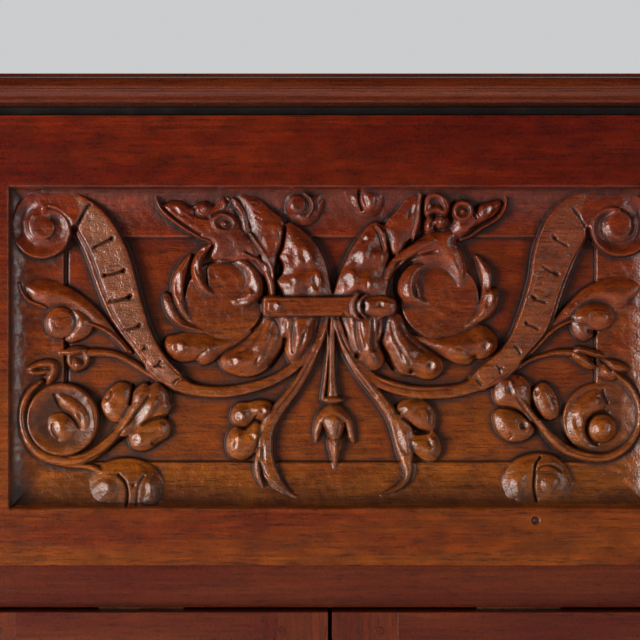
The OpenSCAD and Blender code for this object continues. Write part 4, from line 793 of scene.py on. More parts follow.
RIGHT_LEAF = (
    Form((142, -34, 145.5, -27, 151.5, -24.5, 157.5, -30, 162, -41.5, 160, -49.5, 152.5, -51.5,
          146.5, -45.5), 7.6, 7, 0.4),
    Form((115.5, -30, 118, -22, 125, -18.8, 135, -19.8, 141.5, -26, 142.5, -35, 142, -43.5, 148, -53.5,
          141.5, -53, 135, -45.5, 128, -42.5, 120, -41.3, 115.8, -37), 8.2, 8, 0.4),
    Form((115, -48, 120, -43, 130, -43.8, 138, -49.5, 144.5, -57.5, 140.5, -64, 132.5, -67, 124.5, -65.5,
          117.5, -58.5), 8.0, 8, 0.4),
    Cut((142.5, -28, 142, -36, 143, -42), 1.6, 0.8),
    Cut((119, -41.8, 128, -43.5, 136, -47.5, 142, -54), 1.6, 0.8),
    Stem((127, -24, 1.2, 130, -31, 1.6, 136, -39, 1.9, 143.5, -49, 2.2, 152, -59, 2.8, 161, -67.5, 3.2),
         9.0, 7.8, 0.7),
    Cut((129, -33, 135, -41.5, 143, -52, 151, -61), 1.1, 0.6),
    Cut((158.5, -35, 156.5, -37, 159, -40), 1.0, 0.7),
    Cut((132, -19.5, 133.5, -21.5), 1.5, 1.0),
    Cut((126, -60, 128, -62, 126, -65), 1.0, 0.8),
)
RIGHT_FLOWER = (
    Form((122, -108, 121, -99, 123, -88.5, 129.5, -80, 140, -75.3, 151, -74.5, 161, -78, 168, -85.5,
          171, -94, 170.5, -103, 165, -110, 153, -113, 143, -110, 132, -113), 9.6, 11, 0.35, fullness=0.9),
    Form((123.3, -91, 123.5, -101, 127, -108, 131.5, -113, 137, -111, 141, -104, 143, -96, 143.2, -87,
          138, -82.5, 129, -84), 11.4, 10, 0.35, fullness=0.9),
    Disc((154.7, -95.8, 11.6), 12, 10, 0.4),
    Cut((149, -76.5, 144.8, -82, 143.6, -90, 143.3, -99, 145.5, -109), 3.0, 0.95, 0.05),
    Cut((144.5, -88, 149, -83.5, 157, -83.3, 164, -88), 1.4, 0.9),
    Facet((129, -98.5, 7, 3.6, 100), (0.60, 0.10)),
    Facet((159.5, -100, 4, 3.2, 60), (-0.28, 0.10)),
)
RIGHT_CLUSTER = (
    Stem((3, 20, 1.4, 8, 4, 1.9, 14, -8, 2.6, 23, -21, 3.3, 33, -33, 3.8, 41, -43.5, 4.4, 48, -53, 6.4,
          52, -62, 7.6, 53, -71, 6.4, 54, -80, 4.4, 55, -90, 2.6, 49, -98, 2.0, 36, -104, 0.9), 5.6, 7.6,
         0.5),
    Form((46, -45, 49.5, -38.5, 57, -35.5, 65.5, -36.5, 72, -42, 75, -50, 73.5, -58.5, 66, -58.8,
          59, -55.5, 53, -51.5), 8.4, 7, 0.35),
    Form((54, -60, 61, -61.5, 68, -61, 73, -58.8, 77.5, -65, 78.5, -74, 73.5, -80.3, 66, -79.5, 60, -75.5,
          55, -70), 8.8, 7.5, 0.35),
    Cut((50, -49, 56, -53.5, 62.5, -58.2, 70, -59.6), 1.9, 0.8),
    Cut((46, -40.5, 46.5, -44.5, 50, -47), 2.2, 1.2),
    Swell((62, -45, 5, -0.9)),
    Cut((9, -1, 16, -13, 25, -25, 34, -36.5), 1.2, 0.7),
    Cut((7, -2, 13.5, -13.5, 22.5, -26, 31.5, -37), -0.5, 0.6),
    Cut((59, -80, 58.5, -90, 51, -98.5, 42, -103), -0.8, 0.8),
    Cut((68.5, -43, 70.5, -49, 69.5, -55), 1.0, 0.8),
    Cut((4, 18, 8.5, 6, 13, -3), 1.0, 0.6),
    Facet((52.5, -44, 3.6, 3, 45, 50.5, -64, 14, 4.6, 112, 71, -66.5, 5, 3, 110), (0.50, 0.12)),
)
RIGHT_FACETS = (
    Facet((20.5, 63, 8.5, 5.6, 70, 13.5, 47.5, 8.5, 5.8, 90, 27, 44, 3.5, 2.5, 90, 25, 76.5, 4, 2.5, 60,
           58.5, 97, 8, 2.4, 62, 38, 77.5, 5, 1.6, 85, 49.5, 58.5, 5, 3, 40, 61.3, 40, 6, 3, 100,
           110.3, 47, 9, 4.4, 95, 112.5, 34, 7, 3.2, 70, 111.5, 96.5, 5, 3, 60, 72.3, 87, 4, 2.4, 70,
           69.3, 98.5, 4, 2.2, 60), (0.57, 0.10)),
    Facet((80.5, 101.5, 4, 1.8, 115), (-0.28, -0.05)),
    Facet((11.5, 15, 10, 2.4, 100, 23, 12.5, 9, 2.2, 100, 35, 12, 8, 2, 95, 26, 0, 6, 2, 110,
           72, -12.5, 5, 4, 60, 111, 1, 5, 4.2, 30, 36.5, 30.5, 3.6, 3, 0, 52, -8, 6, 2, 120),
          (0.53, 0.10)),
    Facet((128, -30, 7, 3, 120, 119, -34, 4, 1.8, 90, 146, -30, 5, 1.8, 80, 138, -54.5, 5, 4, 30,
           119, -51, 3, 2, 60), (0.60, 0.10)),
)
RIGHT_BLADES = (
    Form((50, 11, 60, 6, 67, 1.5, 75, -4, 83, -9, 92, -12.3, 98.5, -12, 102, -8, 107.5, -8.5, 114, -6,
          118.3, -1, 118.3, 6, 113.5, 12.5, 106, 16.5, 96, 13, 86, 9, 70, 7), 8.8, 9, 0.25),
    Swell((111, 1, 6, 1.5, 90, -3, 6, 0.8, 100, 8, 5, -0.6, 102.3, -7.3, 1.6, -3.5)),
    Cut((101.5, -8, 96, -3, 88, 0), 1.0, 1.2),
    Form((39, 24, 37, 8, 36.5, 3, 41.5, -5, 45.5, -13, 50, -19, 56, -19.8, 60, -20.5, 66.5, -22.5,
          74, -22, 79.8, -17, 79.8, -10, 75, -4.5, 66, 2, 56, 11, 49, 24), 10.4, 10, 0.25),
    Swell((71, -13, 6, 1.4, 52, -6, 5, 0.8, 57.3, -17.3, 1.6, -3.5, 62, -6, 4, -0.9)),
    Cut((43, 20, 45, 8, 51, -3, 57, -13), 1.5, 1.5),
    Cut((49, 17, 54, 7, 62, 0, 68, -4), 1.0, 1.2),
    Form((9.5, 26, 12, 9, 14.5, 1, 18.5, -6, 23, -11, 28, -15.8, 33.5, -16.3, 37.8, -11.5, 38, -5.5,
          35.5, 0, 35.5, 6, 40, 26), 11.4, 9, 0.3),
    Swell((26, 3, 5, 1.2, 35, 13, 4, 1.2, 19.3, -5.8, 1.6, -3.5)),
    Cut((34.8, 5, 37, -1.5, 40.5, -8.5, 45.5, -16), 3.4, 1.1, 0.06),
    Cut((18, 22, 19, 8, 22, -4), 2.0, 1.5),
    Cut((30, 22, 30.5, 8, 31, -4), 1.8, 1.5),
)
RIGHT_BEAST = (
    Disc((77.5, 33.5, 28), 3.4, 1.2, 0.85),
    Form((102.5, 64.5, 108, 62, 112.5, 57, 114.7, 50, 114.2, 43, 118, 41, 119.5, 36, 118.3, 29,
          113.8, 22.3, 106, 17, 97, 13, 91, 11.5, 98, 19, 103.5, 27, 106.5, 38, 106.8, 49), 8.8, 6, 0.3),
    Cut((115.5, 42.3, 112.5, 41.5, 110.5, 39), 2.0, 0.9),
    Cut((118.2, 37, 116.8, 30, 110.5, 22, 102, 16.5), -0.7, 0.8),
    Form((3, 31, 3.8, 42, 6.3, 50.5, 10.3, 59.8, 15, 69.5, 20, 77, 26.5, 85.5, 33, 88, 38, 82, 38.5, 74,
          42, 66, 40, 56, 41.5, 46, 40, 38, 40, 31), 11, 13, 0.5),
    Swell((20.5, 63.5, 7, 2.1, 14, 47, 7, 2.1, 27, 44, 5, 1.5, 25, 73, 5, 1.3, 36.5, 62, 4.5, 1.4,
           37.5, 43, 3, 1.0, 27, 56, 5, -1.6, 21, 54, 4, -1.2, 31, 70, 3.5, -1.3, 21, 38, 4, -1.2,
           33, 50, 4, -1.2)),
    Form((9, 111, 12.3, 102.5, 17.5, 96, 24, 92.3, 32, 92.5, 37.8, 97.5, 40.5, 104, 40, 112.5, 25, 113),
         8.8, 6, 0.35),
    Form((21.5, 111, 22, 102, 25, 95.5, 30, 94, 35, 98.5, 36.3, 105, 33, 111.5), 11.2, 6, 0.45),
    Cut((20.8, 111, 20.4, 103.5, 23, 96), 3.2, 1.0, 0.05),
    Cut((10.5, 110, 13.8, 103, 18.5, 97.5), -0.9, 0.9),
    Form((32, 88, 38, 86.5, 41, 91, 46, 95.5, 52, 103.5, 58, 108.5, 64.5, 110, 67, 105.5, 64.8, 97,
          64.5, 86.5, 61.5, 79, 55, 74.5, 51, 67, 45.5, 65, 42, 70, 39.5, 76, 36, 82), 10, 8, 0.7),
    Form((60.5, 104.5, 62.5, 97, 58.5, 89, 52, 82, 48, 85, 49.5, 93, 54.5, 100.5), 11.8, 7, 0.35),
    Form((37.5, 86.5, 44, 88.5, 49.5, 82, 52, 75, 51, 68, 45, 65.5, 40.8, 71, 39, 78), 11.2, 8, 0.3),
    Stem((33, 85.5, 1.4, 36.5, 80.5, 2.0, 38.2, 75, 2.0, 39.5, 69, 1.4), 11.8, 11, 0.4),
    Stem((63.6, 107.5, 1.6, 62.8, 99, 2.2, 61.6, 90, 2.2, 60, 82, 1.6, 58.4, 75.5, 0.9), 11.4, 10.4, 0.45),
    Cut((66, 107, 64.6, 98, 64.4, 87, 61.3, 79.5), 2.6, 0.9, 0.06),
    Cut((54, 74.5, 50.5, 67.5, 45.5, 64.5, 41, 68), 2.2, 0.9, 0.06),
    Form((59, 73, 66, 81.5, 76, 83.5, 86, 84.5, 94.5, 77.5, 89.5, 75, 93.5, 67, 96.3, 58, 96.3, 50,
          92, 40.5, 88, 47, 84, 52.5, 77, 56.5, 68, 55.5, 61, 58.5, 55, 63), 9.2, 8, 0.3),
    Swell((73.5, 62.5, 9, -2.6, 84, 58, 5, -1.2)),
    Cut((87.5, 73.5, 91, 66, 93.2, 58, 93.4, 50), -1.1, 0.9),
    Form((84, 80, 86, 95, 88.5, 101, 93, 103.8, 98.5, 102.8, 103, 99.5, 109, 102.8, 116, 102.8,
          122.5, 106, 123.7, 98.5, 119, 91, 110.5, 85.5, 105, 83.5, 99, 77.5, 92, 76), 9.6, 7, 0.35),
    Form((101.5, 96, 104.5, 101.5, 112.5, 104.3, 120.5, 105.6, 122.6, 99.5, 118.5, 94, 112.5, 89.8,
          105.8, 86.8, 102, 90), 12.2, 6.5, 0.3),
    Stem((123.9, 105, 1.0, 122.9, 97.8, 1.5, 118.6, 91.3, 1.5, 111.6, 86.6, 1.4, 104.8, 82.7, 1.3,
          98.5, 78, 1.2, 92, 75.6, 1.0), 10.8, 10.4, 0.4),
    Cut((98, 82.5, 104, 85.2, 110.5, 88.6, 117, 92.7, 121, 98.2), 1.5, 0.6, 0.04),
    Cut((101.8, 100, 101.3, 94.5, 103.3, 90), 1.8, 0.8),
    Disc((93.5, 95.8, 7.8), 12.2, 2, 0.7, 3.4, 1.5),
    Disc((93.5, 95.6, 4.0), 12.8, 4, 0.35),
    Form((65.5, 104, 69, 109, 75, 110.3, 81, 107.5, 85, 101, 83.5, 93.5, 79, 92, 74, 94, 68, 91,
          65.3, 95), 11.8, 3, 0.5, 3.6, 2.6),
    Form((77, 107, 81.8, 105, 84, 99.5, 82.3, 94, 78.5, 95.5, 77.5, 101), 12.8, 5, 0.35),
    Form((67, 92, 71, 94, 75, 90, 74, 83, 69, 79.5, 65, 84), 11.2, 6, 0.35),
    Disc((78.5, 88.4, 6.0), 12.4, 6, 0.3),
    Cut((73, 93, 72.8, 88, 74.5, 83.5, 80, 81.8), 1.8, 0.8),
    Cut((84, 93, 85.5, 99, 89, 103), 2.0, 0.8),
    Stem((40.3, 49, 2.4, 43.3, 56, 3.6, 49, 61.8, 4.2, 56, 66.8, 4.3, 64, 71.3, 4.2, 73, 75.5, 3.4), 10.4,
         9.8, 0.3),
    Cut((45.5, 50, 50, 57.5, 57, 62.3, 66, 65.5, 76, 68), 1.8, 0.8),
    Form((67, 60, 59, 59.3, 52, 54, 48.2, 46, 48.2, 38, 51.5, 32, 58, 29, 65.5, 28.5, 73, 30.5,
          66.8, 33.8, 63.5, 39, 63, 46, 65, 52.5, 69, 56.5), 10, 7, 0.28),
    Cut((46.3, 52, 45.8, 44, 47, 36, 50, 31), 2.0, 0.9),
)
CARVING: tuple[Stroke, ...] = (
    RIGHT_RIBBON + RIGHT_VOLUTE + RIGHT_BERRIES + RIGHT_BUDS + RIGHT_SCROLL + RIGHT_LEAF + RIGHT_FLOWER
    + LEFT_RIBBON + LEFT_VOLUTE + LEFT_BERRIES + LEFT_BUDS + LEFT_SCROLL + LEFT_LEAF + LEFT_FLOWER
    + LEFT_CLUSTER + RIGHT_CLUSTER + LEFT_BLADES + RIGHT_BLADES + LEFT_BEAST + RIGHT_BEAST + MIDDLE
    + LEFT_FACETS + RIGHT_FACETS
)


# Finishes

Socket = bpy.types.NodeSocket
Colour = tuple[float, float, float]


class Grain(Enum):
    """The axis along which the fibres of a piece of wood run."""
    X = 0
    Y = 1
    Z = 2

    def drawn_out(self, along: float, across: float) -> tuple[float, float, float]:
        """Draws a noise out along the fibres.

        Args:
            along: lumps a metre along the fibres.
            across: lumps a metre across them.

        Returns:
            Lumps a metre along x, y and z.
        """
        scale = [across] * 3
        scale[self.value] = along
        return tuple(scale)


@dataclass
class Shader:
    """The nodes of one material or of the world, and short ways to add to them."""
    owner: bpy.types.Material | bpy.types.World

    def __post_init__(self) -> None:
        """Turns the nodes on, which sets the end nodes alone."""
        self.owner.use_nodes = True

    @classmethod
    def named(cls, name: str) -> "Shader":
        """A new material."""
        return cls(bpy.data.materials.new(name))

    def put(self, node: bpy.types.Node, inputs: dict[int | str, object]) -> None:
        """Links each input of a node to the socket given for it, or sets its value.

        Args:
            node: the node.
            inputs: for an input's name or number, the socket it is linked from or its value.
        """
        for key, value in inputs.items():
            if isinstance(value, bpy.types.NodeSocket):
                self.owner.node_tree.links.new(value, node.inputs[key])
            else:
                node.inputs[key].default_value = value

    def add(self, kind: str, settings: dict[str, str], inputs: dict[int | str, object]) -> bpy.types.Node:
        """Adds a node.

        Args:
            kind: the node's type.
            settings: properties of the node.
            inputs: for a socket's name or number, the socket it is linked from or its value.

        Returns:
            The node.
        """
        node = self.owner.node_tree.nodes.new(kind)
        for name, value in settings.items():
            setattr(node, name, value)
        self.put(node, inputs)
        return node

    def noise(self, scale: tuple[float, float, float], detail: float = 3.0, shift: float = 0.0) -> Socket:
        """Adds noise on the piece's own coordinates.

        Args:
            scale: lumps a metre along each axis.
            detail: how many finer layers it has.
            shift: how far it is moved, so that it differs from other noise.

        Returns:
            The noise, from 0 to 1.
        """
        place = self.add("ShaderNodeTexCoord", {}, {}).outputs["Object"]
        moved = self.add("ShaderNodeVectorMath", {"operation": "MULTIPLY_ADD"},
                         {0: place, 1: scale, 2: (shift, shift, shift)}).outputs[0]
        inputs = {"Vector": moved, "Scale": 1.0, "Detail": detail, "Roughness": 0.55}
        return self.add("ShaderNodeTexNoise", {}, inputs).outputs[0]

    def axis(self, name: str) -> Socket:
        """One coordinate of the piece's own, in metres."""
        place = self.add("ShaderNodeTexCoord", {}, {}).outputs["Object"]
        return self.add("ShaderNodeSeparateXYZ", {}, {0: place}).outputs[name]

    def grey(self, value: Socket) -> Socket:
        """A grey of a given brightness."""
        return self.add("ShaderNodeCombineColor", {}, {0: value, 1: value, 2: value}).outputs[0]

    def attribute(self, name: str) -> Socket:
        """A number kept on the piece's vertices."""
        return self.add("ShaderNodeAttribute", {"attribute_name": name}, {}).outputs["Fac"]

    def between(self, value: Socket, low: float, high: float,
                first: float = 0.0, last: float = 1.0) -> Socket:
        """Carries low to high smoothly onto first to last, flat beyond."""
        return self.add("ShaderNodeMapRange", {"interpolation_type": "SMOOTHSTEP"},
                        {0: value, 1: low, 2: high, 3: first, 4: last}).outputs[0]

    def maths(self, operation: str, first: object, second: object) -> Socket:
        """One sum on two numbers."""
        return self.add("ShaderNodeMath", {"operation": operation}, {0: first, 1: second}).outputs[0]

    def mixed(self, share: object, first: object, second: object, blend: str = "MIX") -> Socket:
        """Mixes two colours.

        Args:
            share: the second colour's share, a socket or a number.
            first: a socket or a colour.
            second: a socket or a colour.
            blend: how the second goes onto the first.

        Returns:
            The mixed colour.
        """
        # A mix takes its colours on inputs 6 and 7 and gives the mixed one on output 2
        inputs = {0: share, 6: first, 7: second}
        for key in (6, 7):
            if isinstance(inputs[key], tuple):
                inputs[key] = (*inputs[key], 1.0)
        return self.add("ShaderNodeMix", {"data_type": "RGBA", "blend_type": blend}, inputs).outputs[2]

    def shaded(self, colour: Socket, brightness: Socket) -> Socket:
        """A colour times a brightness."""
        return self.mixed(1.0, colour, self.grey(brightness), "MULTIPLY")

    def bumped(self, height: Socket, distance: float) -> Socket:
        """A normal tilted by a height of up to distance metres."""
        inputs = {"Height": height, "Distance": distance, "Strength": 1.0}
        return self.add("ShaderNodeBump", {}, inputs).outputs[0]

    def share_of(self, name: str, cloud: Socket, least: float, most: float) -> Socket:
        """A number kept on the vertices, times least to most as a cloudy noise has it."""
        return self.maths("MULTIPLY", self.attribute(name), self.between(cloud, 0.3, 0.7, least, most))

    def raised(self, rise: Socket, noise: Socket, name: str, height: float) -> Socket:
        """Adds noise of some millimetres to a height where the number kept on the vertices has it."""
        there = self.maths("MULTIPLY", noise, self.attribute(name))
        return self.maths("ADD", rise, self.maths("MULTIPLY", there, height))

    def sight(self, *kinds: str) -> Socket:
        """Tells rays of some kinds from all others.

        Args:
            kinds: the names of the kinds.

        Returns:
            1 for rays of these kinds and 0 for all others.
        """
        ray = self.add("ShaderNodeLightPath", {}, {})
        found = ray.outputs[f"Is {kinds[0]} Ray"]
        for kind in kinds[1:]:
            found = self.maths("MAXIMUM", found, ray.outputs[f"Is {kind} Ray"])
        return found

    def finished(self, values: dict[str, object], end: str = "Principled BSDF") -> bpy.types.ID:
        """Links or sets the inputs of the main node, by its name, and gives the material or the world."""
        self.put(self.owner.node_tree.nodes[end], values)
        return self.owner


@dataclass(frozen=True)
class Varnish:
    """Old glossy varnish on red-brown wood, darkened in the hollows by patina and by painted shade, rubbed
    on the crests, and painted paler on pricked grounds for their sheen.
    """
    deep: Colour = (0.112, 0.0092, 0.0014)
    warm: Colour = (0.172, 0.0285, 0.0055)
    cut: Colour = (0.210, 0.0425, 0.0115)
    patina_and_shade: Colour = (0.013, 0.0022, 0.0008)
    rubbed_and_sheen: Colour = (0.30, 0.100, 0.045)
    low: Colour = (1.76, 2.30, 0.64)
    high: Colour = (1.20, 0.65, 0.21)
    gloss: float = 0.26
    dulled: float = 0.25
    coat: float = 0.3

    def handled(self, shader: Shader, colour: Socket, cloud: Socket) -> Socket:
        """The carving's colours: cut wood, smudges, redder upwards, pricked grounds painted paler for their
        sheen and wear, and rubbed crests.

        Args:
            shader: the nodes of the varnish.
            colour: the wood's colour before.
            cloud: the noise that breaks up what is worked and rubbed.

        Returns:
            The colour.
        """
        colour = shader.mixed(shader.share_of("worked", cloud, least=0.95, most=0.25), colour, self.cut)
        smudge = shader.noise((50.0, 60.0, 95.0), detail=5.0, shift=4.4)
        colour = shader.shaded(colour, shader.between(smudge, 0.3, 0.7, first=0.66, last=1.14))
        # Darker and redder towards the top, lighter and more orange towards the bottom
        level = shader.between(shader.axis("Z"), 0.60, 0.85)
        colour = shader.mixed(1.0, colour, shader.mixed(level, self.low, self.high), "MULTIPLY")
        # Pricked grounds are painted paler: a painted sheen of the pricks, and wear
        colour = shader.mixed(shader.share_of("stippled", cloud, least=1.0, most=0.6), colour, self.rubbed_and_sheen)
        return shader.mixed(shader.share_of("crest", cloud, least=0.0, most=0.25), colour, self.rubbed_and_sheen)

    def material(self, name: str, grain: Grain, carved: bool = False) -> bpy.types.Material:
        """The finish for pieces whose fibres run one way.

        Args:
            name: the material's name.
            grain: the way the fibres run.
            carved: whether the piece keeps on its vertices how hollow, crested, worked and stippled it is.

        Returns:
            The material.
        """
        shader = Shader.named(name)
        figure = shader.noise(grain.drawn_out(along=3.0, across=26.0), detail=4.0, shift=3.7)
        streak = shader.noise(grain.drawn_out(along=14.0, across=420.0), detail=4.0, shift=1.3)
        pores = shader.noise(grain.drawn_out(along=75.0, across=1150.0), detail=2.0, shift=8.1)
        pores = shader.between(pores, 0.55, 0.67)
        speckle = shader.noise((620.0, 620.0, 620.0), detail=2.0, shift=5.0)
        colour = shader.mixed(shader.between(figure, 0.32, 0.70), self.deep, self.warm)
        if carved:
            cloud = shader.noise((38.0, 60.0, 60.0), detail=4.0, shift=2.0)
            colour = self.handled(shader, colour, cloud)
        colour = shader.shaded(colour, shader.between(streak, 0.25, 0.75, first=0.62, last=1.16))
        colour = shader.mixed(shader.maths("MULTIPLY", pores, 0.6), colour, self.patina_and_shade)
        rough = shader.between(speckle, 0.35, 0.75, first=self.gloss, last=self.gloss + 0.10)
        rise = shader.maths("MULTIPLY", shader.maths("SUBTRACT", 1.0, pores), 0.02)
        coat = self.coat
        if carved:
            # Patina and painted shade darken the hollows
            dark = shader.share_of("hollow", cloud, least=0.8, most=1.0)
            colour = shader.mixed(dark, colour, self.patina_and_shade)
            hollow = shader.attribute("hollow")
            rough = shader.maths("ADD", rough, shader.maths("MULTIPLY", hollow, self.dulled))
            coat = shader.maths("MULTIPLY", shader.maths("SUBTRACT", 1.0, hollow), self.coat)
            facets = shader.noise((170.0, 170.0, 170.0), detail=2.0, shift=0.5)
            pricks = shader.noise((750.0, 750.0, 750.0), detail=1.0, shift=6.0)
            rise = shader.raised(rise, facets, "worked", height=0.12)
            rise = shader.raised(rise, pricks, "stippled", height=0.40)
            rise = shader.raised(rise, speckle, "worked", height=0.40)
        normal = shader.bumped(rise, MM)
        return shader.finished({"Base Color": colour, "Roughness": rough, "IOR": 1.48, "Coat Weight": coat,
                                "Coat Roughness": 0.22, "Normal": normal, "Coat Normal": normal})


@dataclass(frozen=True)
class BareWood:
    """Plain wood out of sight, oiled and dulled with age."""
    dark: Colour = (0.17, 0.080, 0.036)
    light: Colour = (0.38, 0.210, 0.105)
    stained: Colour = (0.10, 0.05, 0.026)
    gloss: float = 0.62

    def material(self, name: str, grain: Grain) -> bpy.types.Material:
        """The finish for pieces whose fibres run one way.

        Args:
            name: the material's name.
            grain: the way the fibres run.

        Returns:
            The material.
        """
        shader = Shader.named(name)
        figure = shader.noise(grain.drawn_out(along=2.5, across=24.0), detail=3.0, shift=2.1)
        streak = shader.noise(grain.drawn_out(along=10.0, across=420.0), detail=4.0, shift=6.3)
        cloud = shader.noise((11.0, 11.0, 11.0), detail=4.0, shift=9.0)
        colour = shader.mixed(shader.between(figure, 0.3, 0.7), self.dark, self.light)
        colour = shader.shaded(colour, shader.between(streak, 0.25, 0.75, first=0.7, last=1.2))
        colour = shader.mixed(shader.between(cloud, 0.5, 0.8, last=0.45), colour, self.stained)
        rough = shader.between(streak, 0.2, 0.8, first=self.gloss - 0.08, last=self.gloss + 0.1)
        return shader.finished({"Base Color": colour, "Roughness": rough,
                                "Normal": shader.bumped(streak, 0.1 * MM)})


@dataclass(frozen=True)
class Ebonised:
    """Wood stained black under varnish."""
    stain: Colour = (0.012, 0.009, 0.008)
    worn: Colour = (0.05, 0.022, 0.012)

    def material(self, name: str, grain: Grain) -> bpy.types.Material:
        """The finish for pieces whose fibres run one way.

        Args:
            name: the material's name.
            grain: the way the fibres run.

        Returns:
            The material.
        """
        shader = Shader.named(name)
        streak = shader.noise(grain.drawn_out(along=9.0, across=380.0), detail=4.0, shift=4.4)
        cloud = shader.noise((60.0, 60.0, 60.0), detail=3.0, shift=1.0)
        colour = shader.mixed(shader.between(cloud, 0.6, 0.85), self.stain, self.worn)
        rough = shader.between(cloud, 0.2, 0.8, first=0.28, last=0.45)
        return shader.finished({"Base Color": colour, "IOR": 1.5, "Roughness": rough,
                                "Normal": shader.bumped(streak, 0.06 * MM)})


@dataclass(frozen=True)
class Metal:
    """Old metal: polished where it is touched, with dull tarnish in clouds."""
    bright: Colour
    tarnish: Colour
    gloss: float
    dull: float
    cover: float

    def material(self, name: str) -> bpy.types.Material:
        """The finish for castings, forgings and screws.

        Args:
            name: the material's name.

        Returns:
            The material.
        """
        shader = Shader.named(name)
        cloud = shader.noise((140.0, 140.0, 140.0), detail=5.0, shift=3.3)
        fine = shader.noise((1800.0, 1800.0, 1800.0), detail=3.0, shift=7.7)
        share = shader.between(cloud, 0.75 - self.cover * 0.5, 0.95 - self.cover * 0.5)
        colour = shader.mixed(share, self.bright, self.tarnish)
        duller = shader.maths("MULTIPLY", share, self.dull - self.gloss)
        metallic = shader.between(share, 0.0, 1.0, first=1.0, last=0.72)
        return shader.finished({"Base Color": colour, "Metallic": metallic,
                                "Roughness": shader.maths("ADD", duller, self.gloss),
                                "Normal": shader.bumped(fine, 0.03 * MM)})


BRASS = Metal(bright=(0.72, 0.48, 0.17), tarnish=(0.20, 0.12, 0.05), gloss=0.26, dull=0.52, cover=0.55)
IRON = Metal(bright=(0.23, 0.22, 0.21), tarnish=(0.055, 0.042, 0.036), gloss=0.38, dull=0.66, cover=0.7)


# Pieces

def grid_faces(rows: int, cols: int) -> Array:
    """Corner numbers of the squares of a grid whose points are numbered row by row."""
    start = (np.arange(rows - 1)[:, None] * cols + np.arange(cols - 1)[None, :]).ravel()
    return np.column_stack([start, start + 1, start + cols + 1, start + cols])


def new_piece(name: str, points: Array, faces: list[Array],
              finish: bpy.types.Material) -> bpy.types.Object:
    """Makes an object.

    Args:
        name: the piece's name.
        points: its corners in metres, one a row.
        faces: the corner numbers of its faces, in groups of one corner count each.
        finish: its material.

    Returns:
        The piece.
    """
    mesh = bpy.data.meshes.new(name)
    sizes = np.concatenate([np.full(len(group), group.shape[1]) for group in faces])
    corners = np.concatenate([group.ravel() for group in faces])
    mesh.vertices.add(len(points))
    mesh.vertices.foreach_set("co", np.ascontiguousarray(points, np.float32).ravel())
    mesh.loops.add(len(corners))
    mesh.loops.foreach_set("vertex_index", corners.astype(np.int32))
    mesh.polygons.add(len(sizes))
    mesh.polygons.foreach_set("loop_start", (np.cumsum(sizes) - sizes).astype(np.int32))
    mesh.update(calc_edges=True)
    mesh.validate()
    mesh.materials.append(finish)
    piece = bpy.data.objects.new(name, mesh)
    bpy.context.scene.collection.objects.link(piece)
    return piece


